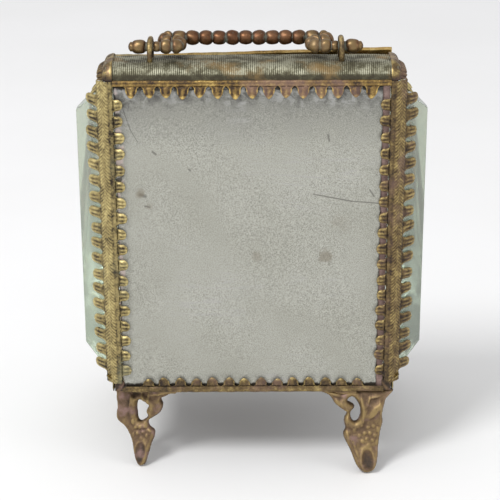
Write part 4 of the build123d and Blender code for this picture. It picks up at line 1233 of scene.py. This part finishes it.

# %% [markdown]
# The silvered paper that closes the back is not quite flat: it is pinched by every tongue that
# clasps it, it bulges a little between them, and its upper and lower edges are ragged. A grid with
# small dents beside the tongues shows this in every light, and the speckle alone would not. Its
# top edge is darkened as painted shadow under the top rail, and its lower edge is darker too.

# %% Crumpled silvered sheet
def crumpled_sheet():
    low, high = np.array(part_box("silvered_back_sheet")) * 1000
    ragged_low, ragged_high = 21.8, 93.55
    x = np.linspace(low[0], high[0], 200)[:, None]
    z = np.linspace(low[2], high[2], 240)
    edge = np.minimum(np.minimum(x - low[0], high[0] - x), np.minimum(z - low[2] - 1.5, high[2] - 3 - z))
    near = np.exp(-np.clip(edge, 0, 99) / 2.2)
    pinch = 0.10 * near * np.sin(2 * pi * z / tongue_pitch + 0.4 * np.sin(x)) * np.sin(x * 1.7 + 0.6 * z)
    pinch = pinch + 0.07 * near * np.sin(2 * pi * x / tongue_pitch) * np.sin(z * 1.9 + 0.8 * x)
    swell = 0.10 * np.sin(0.09 * x + 0.8) * np.sin(0.075 * z + 0.5) + 0.04 * np.sin(0.21 * x + 0.17 * z)
    curl = 0.16 * hump(z, high[2] - 4.5, 2.6)
    y = low[1] + 0.12 + np.clip(pinch + swell * (1 - near) + curl, -0.10, 0.22)
    # the relief falls to nothing at the ragged edges, where the finish darkens the sheet: painted shadow
    # along the top edge under the top rail, and a darker lower edge
    bottom = share((z - ragged_low - 0.12 * np.sin(2.3 * x) - 0.08 * np.sin(5.9 * x)) / 0.4)
    top = share((ragged_high + 0.15 * np.sin(1.9 * x) - z) / 0.7)
    relief = np.clip(0.7 - 0.3 * near + 2 * pinch, 0.3, 1) * bottom * top
    back = pressed("silvered_back", silvered_sheet, spread(x, y, z), relief, gauge=0.12, weld=0)
    settle(back, "casket", "silvered_sheet", "silvered_back_sheet")


crumpled_sheet()
print("silvered sheet laid")

# %% [markdown]
# The casket is lined with two tufted pads of pink silk, one on the floor and one up the back.
# A pad could be a box with rounded edges, but silk puffs up between its tufts and pulls into
# tight folds around them. Cloth simulation gives that puff: a thin pad is remeshed, pinned at
# its tufts, and blown up with pressure while gravity is off. It is done twenty times over
# size, because cloth settles badly at a few millimetres, and shrunk back afterwards. The folds
# that fan out from each tuft are pressed in after that, since the remesh would lose them.

# %% Silk finish
def silk_finish():
    material, tree, shader, place = finish_tree("pink_silk")
    sockets = {"Vector": place, "Scale": 900, "Distortion": 1.5, "Detail": 2}
    waves = [add(tree, "ShaderNodeTexWave", sockets, wave_type="BANDS", bands_direction=way) for way in "ZX"]
    weft, warp = (Value(tree, wave.outputs[1]) for wave in waves)
    weave = (weft + warp) * 0.5
    fade = ramp(tree, noise(tree, place, 55, 5), [(0.45, 0.0), (0.7, 0.5)])
    colour = ramp(tree, weave, [(0.2, (0.64, 0.27, 0.27)), (0.8, (0.86, 0.48, 0.44))])
    colour = blend_colour(tree, fade, colour, (0.80, 0.62, 0.52, 1))
    dress(
        tree, shader, weave, 0.25, 0.00005, Base_Color=colour,
        Roughness=remap(tree, weave, 0.38, 0.55), Sheen_Weight=0.4,
    )
    return material


pink_silk = silk_finish()
print("silk finish ready")

# %% Tufted pads
blow_up, puff_frames, most_moved = 20.0, 20, 1.5
tuft_pitch, row_pitch, border, button_radius = 12.0, 9.5, 5, 0.85


def tuft_places(across, deep):
    """Tufts in staggered rows, leaving a plain border."""
    places = []
    for row, v in enumerate(np.arange(2 + border - deep / 2, deep / 2 - border, row_pitch)):
        shift = tuft_pitch / 2 if row % 2 else 0.0
        middles = np.arange(shift - 2 * tuft_pitch, 2 * tuft_pitch + 1, tuft_pitch)
        places += [(u, v) for u in middles if abs(u) < across / 2 - border]
    return np.array(places)


def shown_mesh(piece):
    """A piece's mesh with its modifiers applied."""
    return bpy.data.meshes.new_from_object(piece.evaluated_get(bpy.context.evaluated_depsgraph_get()))


def small_points(mesh):
    """The points of a blown-up mesh in millimetres, at their real size."""
    points = np.zeros(len(mesh.vertices) * 3)
    mesh.vertices.foreach_get("co", points)
    return points.reshape(-1, 3) / mm / blow_up


def blank_pad(name, size, thick):
    """A thin pad with soft edges, blown up and remeshed into even squares."""
    reach = size * 0.97
    reach[thick] = size[thick] * 0.55
    work = bmesh.new()
    bmesh.ops.create_cube(work, size=1)
    for vertex in work.verts:
        vertex.co = Vector((np.array(vertex.co) * reach) * blow_up * mm)
    soft_edge = size[thick] * 0.24 * blow_up * mm
    bmesh.ops.bevel(work, geom=list(work.edges), offset=soft_edge, segments=3, affect="EDGES")
    mesh = bpy.data.meshes.new(name)
    work.to_mesh(mesh)
    work.free()
    pad = place_object(name, mesh, pink_silk)
    remesh = pad.modifiers.new("even", "REMESH")
    remesh.mode, remesh.voxel_size = "VOXEL", 0.8 * blow_up * mm
    bpy.context.view_layer.update()
    even = shown_mesh(pad)
    pad.modifiers.clear()
    pad.data = even
    return pad


def puff(pad, start, held):
    """Blows the pad up with pressure, and gives how far each point may move with it."""
    pad.vertex_groups.new(name="held").add([int(i) for i in np.flatnonzero(held)], 1.0, "REPLACE")
    cloth = pad.modifiers.new("puff", "CLOTH")
    settings = dict(
        vertex_group_mass="held", quality=6, mass=0.25, tension_stiffness=20, compression_stiffness=20,
        bending_stiffness=0.4, use_pressure=True, uniform_pressure_force=5,
    )
    for key, value in settings.items():
        setattr(cloth.settings, key, value)
    cloth.settings.effector_weights.gravity = 0
    cloth.point_cache.frame_start, cloth.point_cache.frame_end = 1, puff_frames
    scene = bpy.context.scene
    for frame_number in range(1, puff_frames + 1):
        scene.frame_set(frame_number)
    moved = small_points(shown_mesh(pad)) - start
    pad.modifiers.clear()
    scene.frame_set(1)
    far = np.linalg.norm(moved, axis=1)[:, None]
    return moved * np.minimum(1, most_moved / np.maximum(far, 1e-9))


def tuft_buttons(name, tufts, placed, top, axes, middle):
    """Covered buttons that sit in the dimples of a pad."""
    wide, tall, thick = axes
    work = SheetWork()
    ring, disc = np.linspace(0, 2 * pi, 17)[:, None], np.linspace(0, 1, 7)
    for u, v in tufts:
        close = np.hypot(placed[:, wide] - middle[wide] - u, placed[:, tall] - middle[tall] - v) < 0.9
        level = np.median(placed[close & top, thick] - middle[thick]) if (close & top).any() else 0
        dome = np.zeros((17, 7, 3))
        dome[..., wide] = middle[wide] + u + button_radius * np.cos(ring) * disc
        dome[..., tall] = middle[tall] + v + button_radius * np.sin(ring) * disc
        crown = 0.42 * np.sqrt(1 - 0.98 * disc**2) + 0.02 * np.sin(9 * ring) * disc
        dome[..., thick] = middle[thick] + level + crown
        work.grid(dome, 0.5, True)
    settle(work.piece(name, pink_silk, gauge=0.1), "casket", "pink_silk")


def silk_pad(name, node, thick, seed):
    """A tufted pad in the space of its CAD node, with the axis of its thickness."""
    low, high = (np.array(c) * 1000 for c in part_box(node))
    middle, size = (low + high) / 2, high - low
    wide, tall = 0, 3 - thick
    tufts = tuft_places(size[wide], size[tall])
    pad = blank_pad(name, size, thick)
    start = small_points(pad.data)
    gaps = [np.hypot(start[:, wide] - u, start[:, tall] - v) for u, v in tufts]
    gap, top = np.min(gaps, axis=0), start[:, thick] > 0
    held = (gap < 1.0) | (start[:, thick] < -size[thick] * 0.25)
    start[:, thick] -= hump(gap, 0, 1.7) * top * size[thick] * 0.36
    pad.data.vertices.foreach_set("co", (start * blow_up * mm).ravel())
    pad.data.update()
    start = start + puff(pad, start, held)
    nearest = np.argmin([np.hypot(start[:, wide] - u, start[:, tall] - v) for u, v in tufts], axis=0)
    fan = np.arctan2(start[:, tall] - tufts[nearest, 1], start[:, wide] - tufts[nearest, 0])
    start[:, thick] += 0.16 * np.cos(9 * fan + seed) * hump(gap, 2.2, 1.5) * top
    rim = np.max([np.abs(start[:, axis]) / (size[axis] / 2) for axis in (wide, tall)], axis=0)
    seam = hump(start[:, thick], 0, 0.35) * (rim > 0.95)
    for axis in (wide, tall):
        start[:, axis] -= np.sign(start[:, axis]) * 0.18 * seam
    placed = np.clip(start, -size / 2, size / 2) + middle
    pad.data.vertices.foreach_set("co", (placed * mm).ravel())
    pad.data.polygons.foreach_set("use_smooth", [True] * len(pad.data.polygons))
    pad.data.materials.clear()
    pad.data.materials.append(pink_silk)
    pad.data.update()
    fine = pad.modifiers.new("fine", "SUBSURF")
    fine.levels = fine.render_levels = 1
    settle(pad, "casket", "pink_silk", node)
    tuft_buttons(name + "_buttons", tufts, placed, top, (wide, tall, thick), middle)
    print(name, "has", len(tufts), "tufts and", len(pad.data.polygons), "faces")


silk_pad("silk_floor_pad", "base_cushion", 2, 3)
silk_pad("silk_back_pad", "back_cushion", 1, 5)

# %% [markdown]
# What is left of the CAD keeps its shape, which is plain in the real casket too: the hinges and
# the finger tab on the door, the plate that the casket stands on, and the two cards behind the
# linings. Only their finishes are changed, on their own material slots.

# %% Finishes for the parts that keep their shape
def refinish(node, finish):
    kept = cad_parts[node]
    if not kept.material_slots:
        kept.data.materials.append(finish)
    for slot in kept.material_slots:
        slot.material = finish


for word in ("lower", "upper"):
    for part in ("frame_leaf", "door_leaf", "pin"):
        refinish(f"{word}_hinge_{part}", wire_brass)
refinish("door_pull_tab", wire_brass)
refinish("base_plate", ribbed_brass)
for node in ("back_card", "base_card"):
    refinish(node, lining_card)
shown = [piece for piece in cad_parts.values() if not piece.hide_render]
print("finished", len(shown), "parts that keep their shape")
